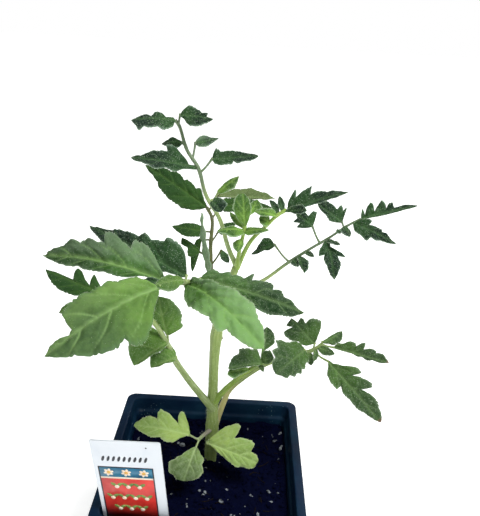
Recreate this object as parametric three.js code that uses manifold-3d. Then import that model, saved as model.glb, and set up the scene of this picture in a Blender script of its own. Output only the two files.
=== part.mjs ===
// A young tomato plant in a square nursery pot, with a plain picture label stuck in the soil.
//
// Millimetres, +Z up. The origin is the middle of the pot's underside and -Y is the front.
// The stem stands in a plain hole in the soil. Every compound leaf is one solid: a tapering
// stalk with its leaflets fused to it, and each leaf ends 0.3 mm from the stem that bears it.

import * as THREE from 'three';
import { mergeVertices } from 'three/addons/utils/BufferGeometryUtils.js';
import Module from 'manifold-3d';

const wasm = await Module();
wasm.setup();

// ---------------------------------------------------------------- driving dimensions, mm

const GAP = 0.3; // clearance between neighbouring solids

const POT = {
  height: 88,
  rimHalf: 45, // outside of the flange
  flangeWidth: 4,
  lip: 3, // how far the flange turns down at its edge
  wall: 1.3,
  floorHalf: 33,
  shoulder: 80.5, // height of the small stacking step under the rim
  step: 1.2, // how far the wall steps out there
  corner: 4.5, // corner radius at the flange
  cornerTaper: 0.15, // radius lost per millimetre that the pot narrows
  holeRadius: 4,
  holeOffset: 19, // drain holes, from the middle along X and along Y
};

const SOIL = { level: 78, relief: 0.9, rings: 8 };

const STEM = {
  points: [[2, 9, 50], [2, 9, 78], [2.2, 9, 95], [2.2, 9, 107], [1.9, 9, 123], [2.1, 9, 139],
    [3.3, 9, 154], [6.7, 11, 168], [9.6, 12, 179]],
  radii: [1.4, 2.8, 2.9, 2.9, 2.2, 2.2, 2.6, 1.9, 1.3],
  sides: 10,
  steps: 26,
};

const STALK = { sides: 6, stepsPerPoint: 3 };

const LABEL = {
  width: 27.5,
  height: 43.5, // of the plain rectangle, above the stake
  stakeHeight: 34,
  stakeWidth: 14, // where the sloping shoulders end
  shoulder: 9,
  pointWidth: 5,
  thick: 0.8,
  corner: 0.8,
  foot: [-25.7, -38.2, 86], // middle of the rectangle's lower edge
  leanLeft: 3.2, // degrees
  leanForward: 8.3,
  turn: -3.1, // about the vertical, counted from above
};

const BLADE = {
  thick: 0.7,
  fold: 0.12, // rise of the two halves from the midrib, as a share of their reach
  rake: 0.25, // how far the side veins slant toward the tip, as a share of their reach
  rootHalf: 0.5, // half width where a blade leaves its stalk
  tipHalf: 0.15,
};

const STALKLET = { radius: 0.55, sides: 4 }; // the thin stalk of one leaflet

// ---------------------------------------------------------------- the leaves
//
// A leaf has the points that its stalk passes through, the stalk's radius at both ends and its
// leaflets. A leaflet has its share `along` the stalk, its `root` where it has a stalklet of its
// own, its `tip`, how far its face leans from straight up toward the front (`lean`) and toward +X
// (`cant`), both in degrees, how high its midrib arches and, where it isn't the usual one, its
// side veins' `rake`. Its two edges, left and right of the midrib as seen from the root, are
// turning points: the share of the midrib where the side vein starts and the reach of that vein.

/** Both edges of a plain small leaflet whose widest reach is `reach`. */
function oval(reach) {
  return [[0.1, 0.6 * reach], [0.4, reach], [0.75, 0.7 * reach]];
}

const LEAVES = {
  leaf_top_left: {
    stalk: [[10, 12, 179], [6, 9, 189], [2, 7, 202], [-4, 7, 212], [-7, 5, 223], [-12, 7, 230],
      [-15, 9, 238], [-17, 9, 241]],
    radius: [1.0, 0.6],
    leaflets: [
      { along: 1, tip: [-33, 3, 241], lean: 50, arch: 1,
        left: [[0.04, 3.5], [0.22, 5], [0.4, 3.8], [0.55, 4.2], [0.7, 3.2], [0.79, 5],
          [0.89, 2.5]],
        right: [[0.03, 1.2], [0.2, 0.8], [0.3, 2.5], [0.38, 3], [0.53, 1.3], [0.63, 2],
          [0.82, 1]] },
      { along: 0.97, root: [-15, 8, 243], tip: [-2, 3, 243], lean: 60, arch: 1, rake: 0.8,
        left: [[0, 4], [0.12, 3.8], [0.37, 2.7], [0.6, 1.6], [0.72, 2], [0.78, 0.6]],
        right: [[0.09, 1.5], [0.13, 3.5], [0.22, 4.5], [0.42, 4], [0.67, 2.5], [0.84, 1.5]] },
      { along: 0.84, root: [-14, 10, 232], tip: [-23, 15, 230], lean: 50, arch: 1,
        left: [[0.03, 2], [0.17, 3.2], [0.57, 2]], right: [[0.16, 1], [0.42, 2.2], [0.65, 1.5]] },
      { along: 0.7, tip: [-32, -3, 228], lean: 50, arch: 1, rake: 0.6,
        left: [[0.2, 2], [0.29, 3.5], [0.45, 2.8], [0.58, 3.5], [0.7, 2.5], [0.84, 1.5]],
        right: [[0.14, 1], [0.16, 4], [0.2, 6.5], [0.27, 7.2], [0.35, 7], [0.38, 4.8],
          [0.54, 4.2], [0.69, 3], [0.83, 1.5]] },
      { along: 0.76, root: [-9, 10, 232], tip: [0, 13, 234], lean: 50,
        left: [[0.03, 1.2], [0.2, 2.5], [0.38, 2.5], [0.67, 1]],
        right: [[0.04, 2], [0.3, 2.6], [0.63, 1.5]] },
      { along: 0.67, root: [-2, 6, 227], tip: [16, 3, 230], lean: 55, rake: 0.4,
        left: [[0, 4.5], [0.05, 3.8], [0.14, 2.8], [0.3, 3.2], [0.47, 2.5], [0.74, 1.5]],
        right: [[0.02, 2], [0.19, 3], [0.37, 3], [0.44, 1.5], [0.5, 2.4], [0.62, 2], [0.8, 2]] },
      { along: 0.47, root: [1, 4, 214], tip: [9, 1, 222], lean: 60, arch: 1,
        left: [[0.05, 0.8], [0.48, 1.2], [0.7, 1]],
        right: [[0.11, 1.5], [0.42, 2.5], [0.62, 3], [0.77, 2]] },
      { along: 0.44, root: [-1, 0, 212], tip: [3, -5, 209], lean: 70, arch: 1,
        left: [[0.03, 1.8], [0.42, 3.6], [0.72, 4], [0.9, 2]],
        right: [[0.05, 1.5], [0.44, 2], [0.74, 1.8]] },
    ],
  },
  leaf_top_right: {
    stalk: [[10, 11, 179], [15, 9, 192], [21, 7, 200], [25, 6, 205], [29, 6, 208]],
    radius: [1.0, 0.6],
    leaflets: [
      { along: 1, tip: [52, 1, 218], lean: 55, arch: 1, rake: 0.7,
        left: [[0, 5], [0.03, 6.8], [0.06, 6.4], [0.1, 3.6], [0.17, 5.2], [0.24, 6], [0.31, 6.3],
          [0.35, 3.2], [0.47, 3.5], [0.64, 2.4], [0.82, 1.5]],
        right: [[0.1, 0.6], [0.3, 1.5], [0.42, 1.1], [0.53, 1.5], [0.7, 0.9], [0.86, 0.6]] },
      { along: 0.97, tip: [36, -3, 211], lean: 60,
        left: [[0.2, 0.6], [0.33, 2], [0.73, 2.5]],
        right: [[0.3, 0.6], [0.52, 1.5], [0.78, 1.5]] },
      { along: 0.95, tip: [26, 11, 212], lean: 60, left: oval(1.5), right: oval(1.5) },
      { along: 0.88, tip: [22, 11, 210], lean: 60, left: oval(0.7), right: oval(2.3) },
      { along: 0.86, tip: [16, 1, 208], lean: 60, arch: 1,
        left: [[0.3, 0.7], [0.68, 1.5]], right: [[0.24, 2.5], [0.7, 1.5]] },
      { along: 0.74, tip: [18, 5, 204], lean: 50, arch: 1, left: oval(3), right: oval(3) },
    ],
  },
  leaf_right: {
    stalk: [[6, 11, 163], [15, 15, 168], [23, 17, 172], [32, 15, 181], [41, 13, 189],
      [48, 11, 195], [54, 9, 201], [60, 9, 205]],
    radius: [0.9, 0.42],
    leaflets: [
      { along: 1, tip: [81, 5, 213], lean: 60, arch: 1, rake: 0.35,
        left: [[0, 4], [0.06, 1], [0.1, 4.5], [0.15, 5.5], [0.2, 4.5], [0.24, 1.5], [0.3, 4.2],
          [0.35, 5.5], [0.41, 4], [0.45, 1.6], [0.49, 3.5], [0.54, 3.5], [0.59, 1.2],
          [0.76, 1.5]],
        right: [[0.18, 0.6], [0.37, 1], [0.6, 0.8], [0.88, 0.5]] },
      { along: 0.95, tip: [72, -5, 200], lean: 55, arch: 1, rake: 0.5,
        left: [[0.02, 1], [0.06, 3], [0.17, 4], [0.25, 4], [0.3, 1.6], [0.41, 2.5], [0.54, 2.5],
          [0.62, 1.5], [0.7, 1.8], [0.85, 0.8]],
        right: [[0.09, 3.5], [0.25, 4], [0.38, 5], [0.47, 3], [0.56, 3.2], [0.66, 2],
          [0.85, 1.5]] },
      { along: 0.89, root: [53, 12, 202], tip: [43, 19, 207], lean: 60, arch: 1, rake: 0.35,
        left: [[0.03, 1], [0.12, 2], [0.24, 3], [0.48, 2], [0.74, 1.5]],
        right: [[0, 2], [0.01, 5.5], [0.04, 6], [0.1, 4.2], [0.21, 5.5], [0.3, 3], [0.5, 3.5],
          [0.72, 3.5], [0.89, 2]] },
      { along: 0.9, tip: [55, 1, 200], lean: 55, left: oval(1.2), right: oval(3.2) },
      { along: 0.86, tip: [50, 5, 200], lean: 55, left: oval(1.4), right: oval(1) },
      { along: 0.76, tip: [49, -9, 185], lean: 60, arch: 2, rake: 0.6,
        left: [[0.24, 0.8], [0.29, 2.5], [0.35, 4.8], [0.43, 5.6], [0.47, 2.6], [0.6, 3.6],
          [0.78, 2.4]],
        right: [[0.17, 3], [0.28, 4.6], [0.38, 5], [0.41, 2.6], [0.51, 3.2], [0.67, 2.5],
          [0.83, 1.5]] },
      { along: 0.76, tip: [51, -1, 197], lean: 50, left: oval(0.9), right: oval(1.8) },
      { along: 0.71, root: [41, 13, 199], tip: [34, 17, 203], lean: 60, arch: 1, rake: 0.4,
        left: [[0.02, 1.5], [0.14, 3.5], [0.3, 4.8], [0.42, 2.5], [0.64, 3.8], [0.74, 1.4]],
        right: [[0, 4], [0.03, 5.8], [0.22, 5], [0.36, 2.2], [0.62, 2.8], [0.75, 1.6]] },
      { along: 0.6, tip: [42, 7, 188], lean: 60, left: oval(1.4), right: oval(1) },
      { along: 0.55, tip: [38, 1, 183], lean: 65, left: oval(3.4), right: oval(0.8) },
      { along: 0.51, tip: [36, 7, 183], lean: 60, left: oval(2.4), right: oval(2) },
      { along: 0.48, root: [26, 18, 188], tip: [16, 23, 181], lean: 60, arch: 1,
        left: [[0.2, 1.5], [0.4, 0.7], [0.75, 1]],
        right: [[0, 3], [0.06, 4], [0.2, 4.6], [0.42, 3], [0.67, 1]] },
    ],
  },
  leaf_low_right: {
    stalk: [[3, 8, 112], [8, 7, 120], [13, 5, 127], [18, 2, 134], [23, 0, 140]],
    radius: [1.4, 0.7],
    leaflets: [
      { along: 0.96, root: [23, -2, 140], tip: [9, -15, 145], lean: 50, arch: 2,
        left: [[0.2, 0.8], [0.5, 0.8], [0.85, 1]],
        right: [[0, 5], [0.05, 7], [0.2, 6.2], [0.36, 7.2], [0.58, 7], [0.64, 5], [0.77, 4.5],
          [0.9, 2.5]] },
      { along: 1, tip: [25, 13, 150], lean: 70, arch: 1,
        left: [[0.4, 0.8], [0.62, 1], [0.83, 1.5]],
        right: [[0.3, 0.8], [0.4, 3], [0.5, 4.5], [0.69, 4], [0.89, 2.5]] },
      { along: 1, tip: [28, -3, 144], lean: 60, left: [[0.29, 4], [0.84, 3.5]], right: oval(2) },
      { along: 0.95, tip: [24, -5, 138], lean: 60, left: oval(1.4), right: oval(1) },
      { along: 0.78, tip: [9, -14, 142], lean: 50, arch: 1,
        left: [[0.2, 0.8], [0.6, 1.8], [0.88, 3]], right: [[0.3, 1.2], [0.8, 2.2]] },
    ],
  },
  leaf_low_right_rear: {
    stalk: [[2.5, 10, 93], [7, 16, 106], [11, 18, 114], [24, 18, 126], [37, 14, 135],
      [46, 10, 141], [50, 9, 145]],
    radius: [1.5, 0.7],
    leaflets: [
      { along: 0.88, root: [42, 5, 144], tip: [29, -11, 141], lean: 55, arch: 2, rake: 0.2,
        left: [[0.03, 3], [0.18, 5], [0.26, 4.8], [0.36, 6.3], [0.44, 5.7], [0.52, 6.8],
          [0.6, 5.5], [0.68, 6], [0.75, 4.5], [0.82, 4.6], [0.93, 1.8]],
        right: [[0, 4], [0.16, 6.5], [0.3, 7.5], [0.38, 10], [0.47, 11], [0.55, 8], [0.67, 8.7],
          [0.76, 5.5], [0.87, 4.8], [0.96, 2.5]] },
      { along: 0.9, tip: [46, 7, 135], lean: 60, left: oval(2), right: oval(2) },
      { along: 0.93, root: [47, 11, 144], tip: [36, 17, 153], lean: 70, arch: 2, rake: 0.5,
        left: [[0.02, 3.5], [0.13, 5], [0.22, 4.6], [0.32, 7], [0.5, 7.5], [0.62, 7], [0.72, 2],
          [0.8, 4]],
        right: [[0, 7], [0.06, 9.2], [0.2, 8.6], [0.39, 6.5], [0.5, 3.4], [0.64, 4], [0.71, 3.4],
          [0.76, 1]] },
      { along: 1, root: [50, 9, 146], tip: [59, 13, 150], lean: 70, arch: 1,
        left: [[0.18, 0.6], [0.43, 1], [0.74, 1]],
        right: [[0.17, 2], [0.29, 3.5], [0.6, 3.5], [0.88, 2]] },
      { along: 1, root: [55, 7, 145], tip: [77, -5, 146], lean: 60, arch: 1, rake: 0.5,
        left: [[0.02, 2.5], [0.1, 2.7], [0.19, 4.5], [0.29, 4.5], [0.34, 3], [0.39, 5.3],
          [0.44, 5.5], [0.49, 2.5], [0.57, 3.7], [0.66, 3.7], [0.71, 2.6], [0.8, 3], [0.92, 1.3]],
        right: [[0.13, 0.6], [0.35, 0.6], [0.46, 1.3], [0.52, 0.8], [0.6, 1.7], [0.71, 1],
          [0.84, 1.3]] },
      { along: 0.97, tip: [55, 3, 144], lean: 50, left: oval(1.7), right: oval(2.6) },
      { along: 0.93, root: [52, 0, 142], tip: [73, -21, 127], lean: 60, arch: 3, rake: 0.75,
        left: [[0.05, 1], [0.1, 3.5], [0.14, 7], [0.19, 8], [0.25, 7.2], [0.28, 3.6], [0.31, 6],
          [0.37, 7.2], [0.43, 7.7], [0.48, 6.6], [0.51, 2.6], [0.57, 4.2], [0.66, 4.7],
          [0.78, 3.5], [0.89, 2.4]],
        right: [[0.02, 2], [0.05, 4.5], [0.13, 5.5], [0.23, 5.5], [0.3, 3], [0.37, 4.6],
          [0.49, 4], [0.61, 4.2], [0.73, 2.8], [0.89, 1.5]] },
      { along: 0.95, tip: [46, 1, 141], lean: 50, left: oval(1.8), right: oval(0.8) },
    ],
  },
  leaf_low_left: {
    stalk: [[2, 8, 108], [-6, 3, 122], [-11, -3, 134], [-14, -8, 143], [-16, -15, 154],
      [-20, -23, 168], [-27, -27, 177], [-36, -29, 182]],
    radius: [1.7, 0.7],
    leaflets: [
      { along: 0.41, root: [-13, -12, 147], tip: [-21, -27, 151], lean: 60, arch: 2,
        left: [[0.15, 0.8], [0.3, 1.5], [0.58, 0.7], [0.79, 1]],
        right: [[0.03, 5], [0.14, 6], [0.3, 5.2], [0.44, 5.7], [0.61, 4], [0.72, 4.8],
          [0.84, 4.5]] },
      { along: 0.53, root: [-16, -18, 157], tip: [-27, -31, 154], lean: 60, arch: 3,
        left: [[0.3, 1.5], [0.55, 0.8], [0.75, 1], [0.89, 0.8]],
        right: [[0, 6], [0.05, 8.5], [0.2, 9.6], [0.33, 9], [0.48, 9.6], [0.7, 8.5],
          [0.86, 5.2]] },
      { along: 0.56, root: [-16, -17, 160], tip: [-20, -13, 175], lean: 65, arch: 3,
        left: [[0.1, 0.8], [0.3, 2.6], [0.4, 5.2], [0.63, 5.2], [0.9, 3.3]],
        right: [[0, 2.5], [0.03, 5.5], [0.1, 7.3], [0.22, 7], [0.37, 8], [0.6, 6.5],
          [0.8, 4.5]] },
      { along: 0.86, tip: [-53, -35, 177], lean: 55, arch: 1,
        left: [[0.3, 0.7], [0.88, 1]],
        right: [[0.6, 0.8], [0.68, 3], [0.76, 4.3], [0.86, 3.4], [0.94, 2]] },
      { along: 1, tip: [-58, -31, 192], lean: 70, arch: 1, rake: 0.5,
        left: [[0.1, 2.5], [0.22, 1.8], [0.37, 4.5], [0.55, 5], [0.7, 4], [0.85, 2.5]],
        right: [[0.1, 0.6], [0.17, 3.5], [0.22, 5.5], [0.27, 4], [0.31, 1], [0.37, 2.2],
          [0.42, 4.6], [0.48, 5.2], [0.53, 4], [0.57, 0.7], [0.85, 0.6]] },
    ],
  },
  leaf_near: {
    stalk: [[5, 8, 159], [1, -1, 170], [-3, -15, 182], [-6, -28, 189], [-11, -39, 193],
      [-15, -47, 195]],
    radius: [1.4, 0.8],
    leaflets: [
      { along: 1, tip: [-45, -74, 183], lean: 50, arch: 6, rake: 0.4,
        left: [[0.04, 3.5], [0.13, 7.5], [0.21, 12.5], [0.27, 15], [0.34, 14.8], [0.41, 10.4],
          [0.48, 11.7], [0.56, 11], [0.64, 9.5], [0.78, 6]],
        right: [[0.02, 3.5], [0.1, 6.3], [0.2, 7.6], [0.31, 8.7], [0.47, 8.5], [0.55, 9],
          [0.62, 8.5], [0.68, 7.2], [0.71, 5.2], [0.75, 1.5], [0.79, 0.8], [0.84, 1.5],
          [0.92, 1.5]] },
      { along: 0.9, root: [-14, -40, 194], tip: [-54, -44, 203], lean: 50, arch: 9, rake: 0.6,
        left: [[0.05, 1], [0.12, 0.8], [0.19, 1.5], [0.26, 3], [0.35, 4], [0.45, 3.3],
          [0.56, 4.1], [0.67, 2.7], [0.74, 3.5], [0.87, 2]],
        right: [[0, 3], [0.05, 6.5], [0.09, 9], [0.16, 10], [0.24, 6.3], [0.3, 8], [0.36, 10.5],
          [0.4, 10.3], [0.45, 6.3], [0.51, 6], [0.57, 7.1], [0.65, 5.2], [0.71, 5.6], [0.82, 3.5],
          [0.92, 1.5]] },
      { along: 0.76, root: [-8, -25, 190], tip: [-50, -1, 199], lean: 55, arch: 3, rake: 0.4,
        left: [[0.03, 1.5], [0.13, 2.5], [0.27, 4.5], [0.45, 5.5], [0.65, 4.5], [0.8, 3]],
        right: [[0.01, 3], [0.03, 6.5], [0.06, 8.2], [0.12, 9.6], [0.18, 9.3], [0.25, 7.3],
          [0.34, 5.8], [0.42, 7.2], [0.47, 4.8], [0.54, 4.6], [0.61, 4.5], [0.73, 2.2],
          [0.87, 1]] },
      { along: 0.76, root: [-8, -28, 188], tip: [21, -57, 180], lean: 45, arch: 9,
        left: [[0.03, 2.7], [0.27, 4.6], [0.46, 6], [0.58, 7.5], [0.7, 7.4], [0.81, 5.5],
          [0.91, 3.3]],
        right: [[0.06, 2], [0.16, 4.5], [0.3, 7.6], [0.37, 7.4], [0.45, 7], [0.52, 5.8], [0.6, 7],
          [0.66, 7.5], [0.71, 4.8], [0.78, 5], [0.87, 4], [0.95, 2.4]] },
      { along: 0.6, root: [-4, -11, 183], tip: [37, -20, 175], lean: 50, arch: 4, rake: 0.5,
        left: [[0.01, 3], [0.04, 4.8], [0.11, 4.3], [0.18, 5.5], [0.23, 4.3], [0.3, 5.2],
          [0.34, 5], [0.38, 7.6], [0.42, 4.6], [0.48, 5.6], [0.54, 6.5], [0.59, 6], [0.63, 3.8],
          [0.68, 5], [0.75, 3.3], [0.89, 1.5]],
        right: [[0.1, 1.5], [0.24, 3.7], [0.38, 4.4], [0.51, 5.6], [0.62, 6], [0.73, 5],
          [0.85, 3.5], [0.95, 1.5]] },
      { along: 0.8, root: [-8, -34, 192], tip: [-16, -47, 196], lean: 50, arch: 1,
        left: [[0.3, 2.2], [0.5, 3.6], [0.74, 4], [0.9, 2.3]],
        right: [[0.15, 2], [0.5, 2.5], [0.8, 1.5]] },
      { along: 0.97, root: [-14, -44, 195], tip: [-21, -45, 196], lean: 50, arch: 1,
        left: oval(2.1), right: [[0.22, 1.2], [0.54, 1.6], [0.78, 1]] },
    ],
  },
  leaf_back: {
    stalk: [[4, 10, 144], [0, 21, 156], [-2, 29, 169], [-3, 35, 180], [-3, 41, 190],
      [-6, 45, 195]],
    radius: [1.2, 0.7],
    leaflets: [
      { along: 1, tip: [-34, 39, 215], lean: 60, arch: 2, rake: 0.4,
        left: [[0.05, 3.5], [0.14, 6], [0.23, 7.5], [0.35, 7.5], [0.48, 7], [0.6, 6], [0.72, 3.5],
          [0.85, 2]],
        right: [[0.06, 2], [0.12, 4.5], [0.18, 5.6], [0.23, 4], [0.3, 5.1], [0.37, 5.6],
          [0.43, 4], [0.49, 5.1], [0.57, 5.6], [0.63, 4.2], [0.7, 4], [0.83, 2.5]] },
      { along: 0.97, root: [-1, 49, 200], tip: [27, 63, 196], lean: 55,
        left: [[0.1, 2], [0.26, 3.5], [0.52, 4.5], [0.74, 3]], right: [[0.18, 1], [0.74, 1]] },
      { along: 0.9, root: [0, 47, 196], tip: [25, 53, 194], lean: 60,
        left: [[0.06, 3.5], [0.44, 4], [0.74, 2.5]],
        right: [[0.06, 3.5], [0.45, 3], [0.79, 1.5]] },
      { along: 0.8, root: [-6, 39, 185], tip: [-21, 35, 188], lean: 55,
        left: [[0.03, 2.5], [0.19, 3.5], [0.55, 4], [0.78, 2.5]],
        right: [[0.08, 2], [0.26, 3], [0.57, 2.5], [0.83, 1]] },
      { along: 0.62, root: [-8, 37, 175], tip: [-17, 39, 181], lean: 60,
        left: [[0.03, 4], [0.19, 5], [0.5, 2], [0.81, 2.5]], right: oval(1.2) },
      { along: 0.74, root: [-8, 40, 181], tip: [-12, 43, 162], lean: 70,
        left: oval(1), right: [[0.05, 2], [0.4, 3], [0.73, 2]] },
      { along: 0.35, root: [-3, 25, 170], tip: [-7, 23, 199], lean: 60, cant: -30,
        left: [[0.1, 1.5], [0.28, 2], [0.54, 2], [0.81, 1]],
        right: [[0.12, 2], [0.3, 1.5], [0.56, 0.7], [0.81, 0.6]] },
      { along: 0.72, root: [0, 39, 185], tip: [8, 43, 188], lean: 60,
        left: [[0.08, 1], [0.41, 2.5], [0.83, 1.5]], right: [[0.03, 2], [0.52, 2]] },
      { along: 0.55, root: [2, 33, 178], tip: [6, 31, 173], lean: 65,
        left: oval(1.8), right: oval(2.2) },
    ],
  },
  shoot_tip: {
    stalk: [[10, 9, 181], [11, 4, 191], [12, 3, 197], [12.5, 3, 201]],
    radius: [0.9, 0.6],
    leaflets: [
      { along: 1, tip: [11, 5, 214], lean: 75, arch: 2,
        left: [[0.05, 1], [0.3, 3.5], [0.53, 4.5], [0.77, 3.5], [0.94, 2]],
        right: [[0.05, 1], [0.23, 2], [0.5, 3], [0.75, 2.5], [0.94, 1]] },
      { along: 0.97, tip: [6, 11, 204], lean: 70, left: oval(2), right: oval(1) },
      { along: 0.98, root: [14, 6, 205], tip: [17, 11, 210], lean: 70,
        left: oval(2), right: [[0.23, 1.5], [0.57, 3.5]] },
      { along: 0.9, tip: [2, -7, 202], lean: 45, arch: 1,
        left: [[0.26, 3], [0.61, 4], [0.81, 2]], right: [[0.11, 1], [0.47, 1.5]] },
      { along: 0.88, tip: [22, -3, 202], lean: 50, arch: 1,
        left: [[0.21, 1.5], [0.65, 1]], right: [[0.2, 2], [0.55, 2]] },
      { along: 0.72, tip: [10, -3, 192], lean: 60, left: oval(1.5), right: oval(3) },
    ],
  },
  basal_leaf_left: {
    stalk: [[2, 8, 96], [-1, 1, 98], [-3, -5, 100]],
    radius: [0.9, 0.7],
    leaflets: [
      { along: 1, root: [-7, -5, 102], tip: [-33, -3, 104], lean: 35, arch: 3, rake: 0.5,
        left: [[0.05, 0.7], [0.11, 2.5], [0.17, 5.5], [0.29, 5.5], [0.4, 4.3], [0.55, 4.6],
          [0.76, 3]],
        right: [[0, 6], [0.02, 9], [0.06, 9.2], [0.12, 7.5], [0.17, 3.8], [0.24, 5.5],
          [0.32, 7.5], [0.42, 8.6], [0.49, 7], [0.54, 4.1], [0.65, 4.7], [0.78, 4], [0.91, 2]] },
      { along: 1, root: [-4, -8, 98], tip: [-8, -21, 90], lean: 50, arch: 2,
        left: [[0.03, 1], [0.14, 3], [0.22, 5.5], [0.38, 5.2], [0.5, 7], [0.67, 6.2], [0.79, 4.4],
          [0.9, 2.6]],
        right: [[0.12, 2.5], [0.31, 4.5], [0.45, 7], [0.55, 9], [0.69, 8.5], [0.81, 7],
          [0.87, 4.6], [0.95, 3.6]] },
    ],
  },
  basal_leaf_right: {
    stalk: [[2, 8, 90], [1, 3, 92], [1, -1, 95]],
    radius: [0.9, 0.7],
    leaflets: [
      { along: 1, tip: [24, -9, 92], lean: 45, arch: 3, rake: 0.5,
        left: [[0, 6], [0.04, 9.5], [0.1, 11.2], [0.18, 12.6], [0.26, 12], [0.31, 9.5], [0.34, 6],
          [0.46, 7.6], [0.58, 8.1], [0.69, 7.2], [0.76, 3.6], [0.87, 3.2], [0.96, 1.6]],
        right: [[0.05, 0.8], [0.14, 1.5], [0.24, 2.6], [0.34, 3.6], [0.45, 4.6], [0.57, 5.5],
          [0.66, 4.3], [0.8, 4], [0.93, 2.4]] },
    ],
  },
};

// ---------------------------------------------------------------- colours

const MATERIALS = {
  pot: { color: 0x1b3350, roughness: 0.45 },
  soil: { color: 0x15130f, roughness: 1 },
  label: { color: 0xf2f4f6, roughness: 0.4 },
  main_stem: { color: 0x8aa653, roughness: 0.65 },
  shoot_tip: { color: 0x7fa63c, roughness: 0.6 },
  basal_leaf_left: { color: 0xa3be63, roughness: 0.7 },
  basal_leaf_right: { color: 0xacc868, roughness: 0.7 },
  leaf_near: { color: 0x5d8a45, roughness: 0.65 },
  leaf_top_left: { color: 0x2f5233, roughness: 0.7 },
  leaf_top_right: { color: 0x2b4a35, roughness: 0.7 },
  leaf_back: { color: 0x35562b, roughness: 0.7 },
  leaf: { color: 0x3d6035, roughness: 0.7 },
};

/** The named piece's own material; a leaf with none of its own gets the common leaf green. */
function material(name) {
  return new THREE.MeshStandardMaterial({ metalness: 0, ...(MATERIALS[name] ?? MATERIALS.leaf) });
}

// ---------------------------------------------------------------- geometry helpers

const vec = (point) => new THREE.Vector3(...point);

/** A BufferGeometry from points and triangles, turned so that its faces point out. */
function faceted(points, triangles) {
  let volume = 0;
  for (const [a, b, c] of triangles) {
    volume += points[a].dot(new THREE.Vector3().crossVectors(points[b], points[c]));
  }
  const outward = volume > 0 ? triangles : triangles.map(([a, b, c]) => [a, c, b]);
  const geometry = new THREE.BufferGeometry();
  geometry.setAttribute('position', new THREE.Float32BufferAttribute(points.flatMap((p) => p.toArray()), 3));
  geometry.setIndex(outward.flat());
  return geometry;
}

/** A closed skin over rings of equal length, with a fan to `ends[0]` and one to `ends[1]`. */
function loft(rings, ends) {
  const count = rings[0].length;
  const points = [...rings.flat(), ...ends];
  const [first, last] = [points.length - 2, points.length - 1];
  const lastRing = (rings.length - 1) * count;
  const triangles = [];
  for (let i = 0; i < count; i += 1) {
    const j = (i + 1) % count;
    triangles.push([first, j, i]);
    triangles.push([last, lastRing + i, lastRing + j]);
    for (let r = 0; r < rings.length - 1; r += 1) {
      const [a, b] = [r * count + i, r * count + j];
      triangles.push([a, b, b + count]);
      triangles.push([a, b + count, a + count]);
    }
  }
  return faceted(points, triangles);
}

/** A manifold solid from a three.js geometry. */
function solid(geometry) {
  const bare = geometry.clone();
  bare.deleteAttribute('normal');
  bare.deleteAttribute('uv');
  const merged = mergeVertices(bare, 1e-4);
  return new wasm.Manifold(new wasm.Mesh({
    numProp: 3,
    vertProperties: new Float32Array(merged.attributes.position.array),
    triVerts: new Uint32Array(merged.index.array),
  }));
}

/** The largest connected piece of a manifold solid, as a three.js geometry. */
function geometryOf(manifold) {
  const pieces = manifold.decompose();
  const largest = pieces.reduce((a, b) => (b.volume() > a.volume() ? b : a));
  const mesh = largest.getMesh();
  const geometry = new THREE.BufferGeometry();
  geometry.setAttribute('position', new THREE.BufferAttribute(mesh.vertProperties, 3));
  geometry.setIndex(new THREE.BufferAttribute(mesh.triVerts, 1));
  return geometry;
}

/** A smooth curve through hand-placed points. */
function curveThrough(points) {
  return new THREE.CatmullRomCurve3(points.map(vec), false, 'catmullrom', 0.5);
}

/**
 * A closed tapering tube along a curve; `radiusAt` takes the share of the curve's length, and
 * both ends reach `overhang` past the curve's own.
 */
function tube(curve, radiusAt, { sides, steps, overhang = 0 }) {
  const frames = curve.computeFrenetFrames(steps, false);
  const centreAt = (i) => {
    const outward = Number(i === steps) - Number(i === 0);
    return curve.getPointAt(i / steps).addScaledVector(frames.tangents[i], outward * overhang);
  };
  const rings = [];
  for (let i = 0; i <= steps; i += 1) {
    const centre = centreAt(i);
    const radius = radiusAt(i / steps);
    rings.push(Array.from({ length: sides }, (_, k) => {
      const angle = (2 * Math.PI * k) / sides;
      return centre.clone()
        .addScaledVector(frames.normals[i], radius * Math.cos(angle))
        .addScaledVector(frames.binormals[i], radius * Math.sin(angle));
    }));
  }
  return loft(rings, [centreAt(0), centreAt(steps)]);
}

/** Straight-line reading of a list of [position, value] pairs. */
function interpolate(pairs, x) {
  const next = pairs.findIndex(([position]) => position >= x);
  if (next <= 0) return pairs[next === 0 ? 0 : pairs.length - 1][1];
  const [[x0, y0], [x1, y1]] = [pairs[next - 1], pairs[next]];
  return THREE.MathUtils.mapLinear(x, x0, x1, y0, y1);
}

/** A square with round corners, as a ring of points at height z. */
function squareRing(half, z) {
  const radius = POT.corner - POT.cornerTaper * (POT.rimHalf - half);
  const cornerSteps = 4;
  const sideSteps = 4;
  const ring = [];
  for (let corner = 0; corner < 4; corner += 1) {
    const turn = (corner * Math.PI) / 2;
    const place = (x, y) => ring.push(new THREE.Vector3(
      x * Math.cos(turn) - y * Math.sin(turn), x * Math.sin(turn) + y * Math.cos(turn), z,
    ));
    const centre = half - radius;
    for (let i = 0; i <= cornerSteps; i += 1) {
      const angle = (i / cornerSteps) * (Math.PI / 2);
      place(centre + radius * Math.cos(angle), centre + radius * Math.sin(angle));
    }
    for (let i = 1; i < sideSteps; i += 1) {
      place(centre - (2 * centre * i) / sideSteps, half);
    }
  }
  return ring;
}

// ---------------------------------------------------------------- pot, soil and label

/** Half the pot's inside width at height z, below the stacking step. */
function innerHalf(z) {
  const top = POT.rimHalf - POT.flangeWidth - POT.step - POT.wall * 0.6;
  return THREE.MathUtils.mapLinear(z, POT.wall, POT.shoulder, POT.floorHalf - POT.wall, top);
}

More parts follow.
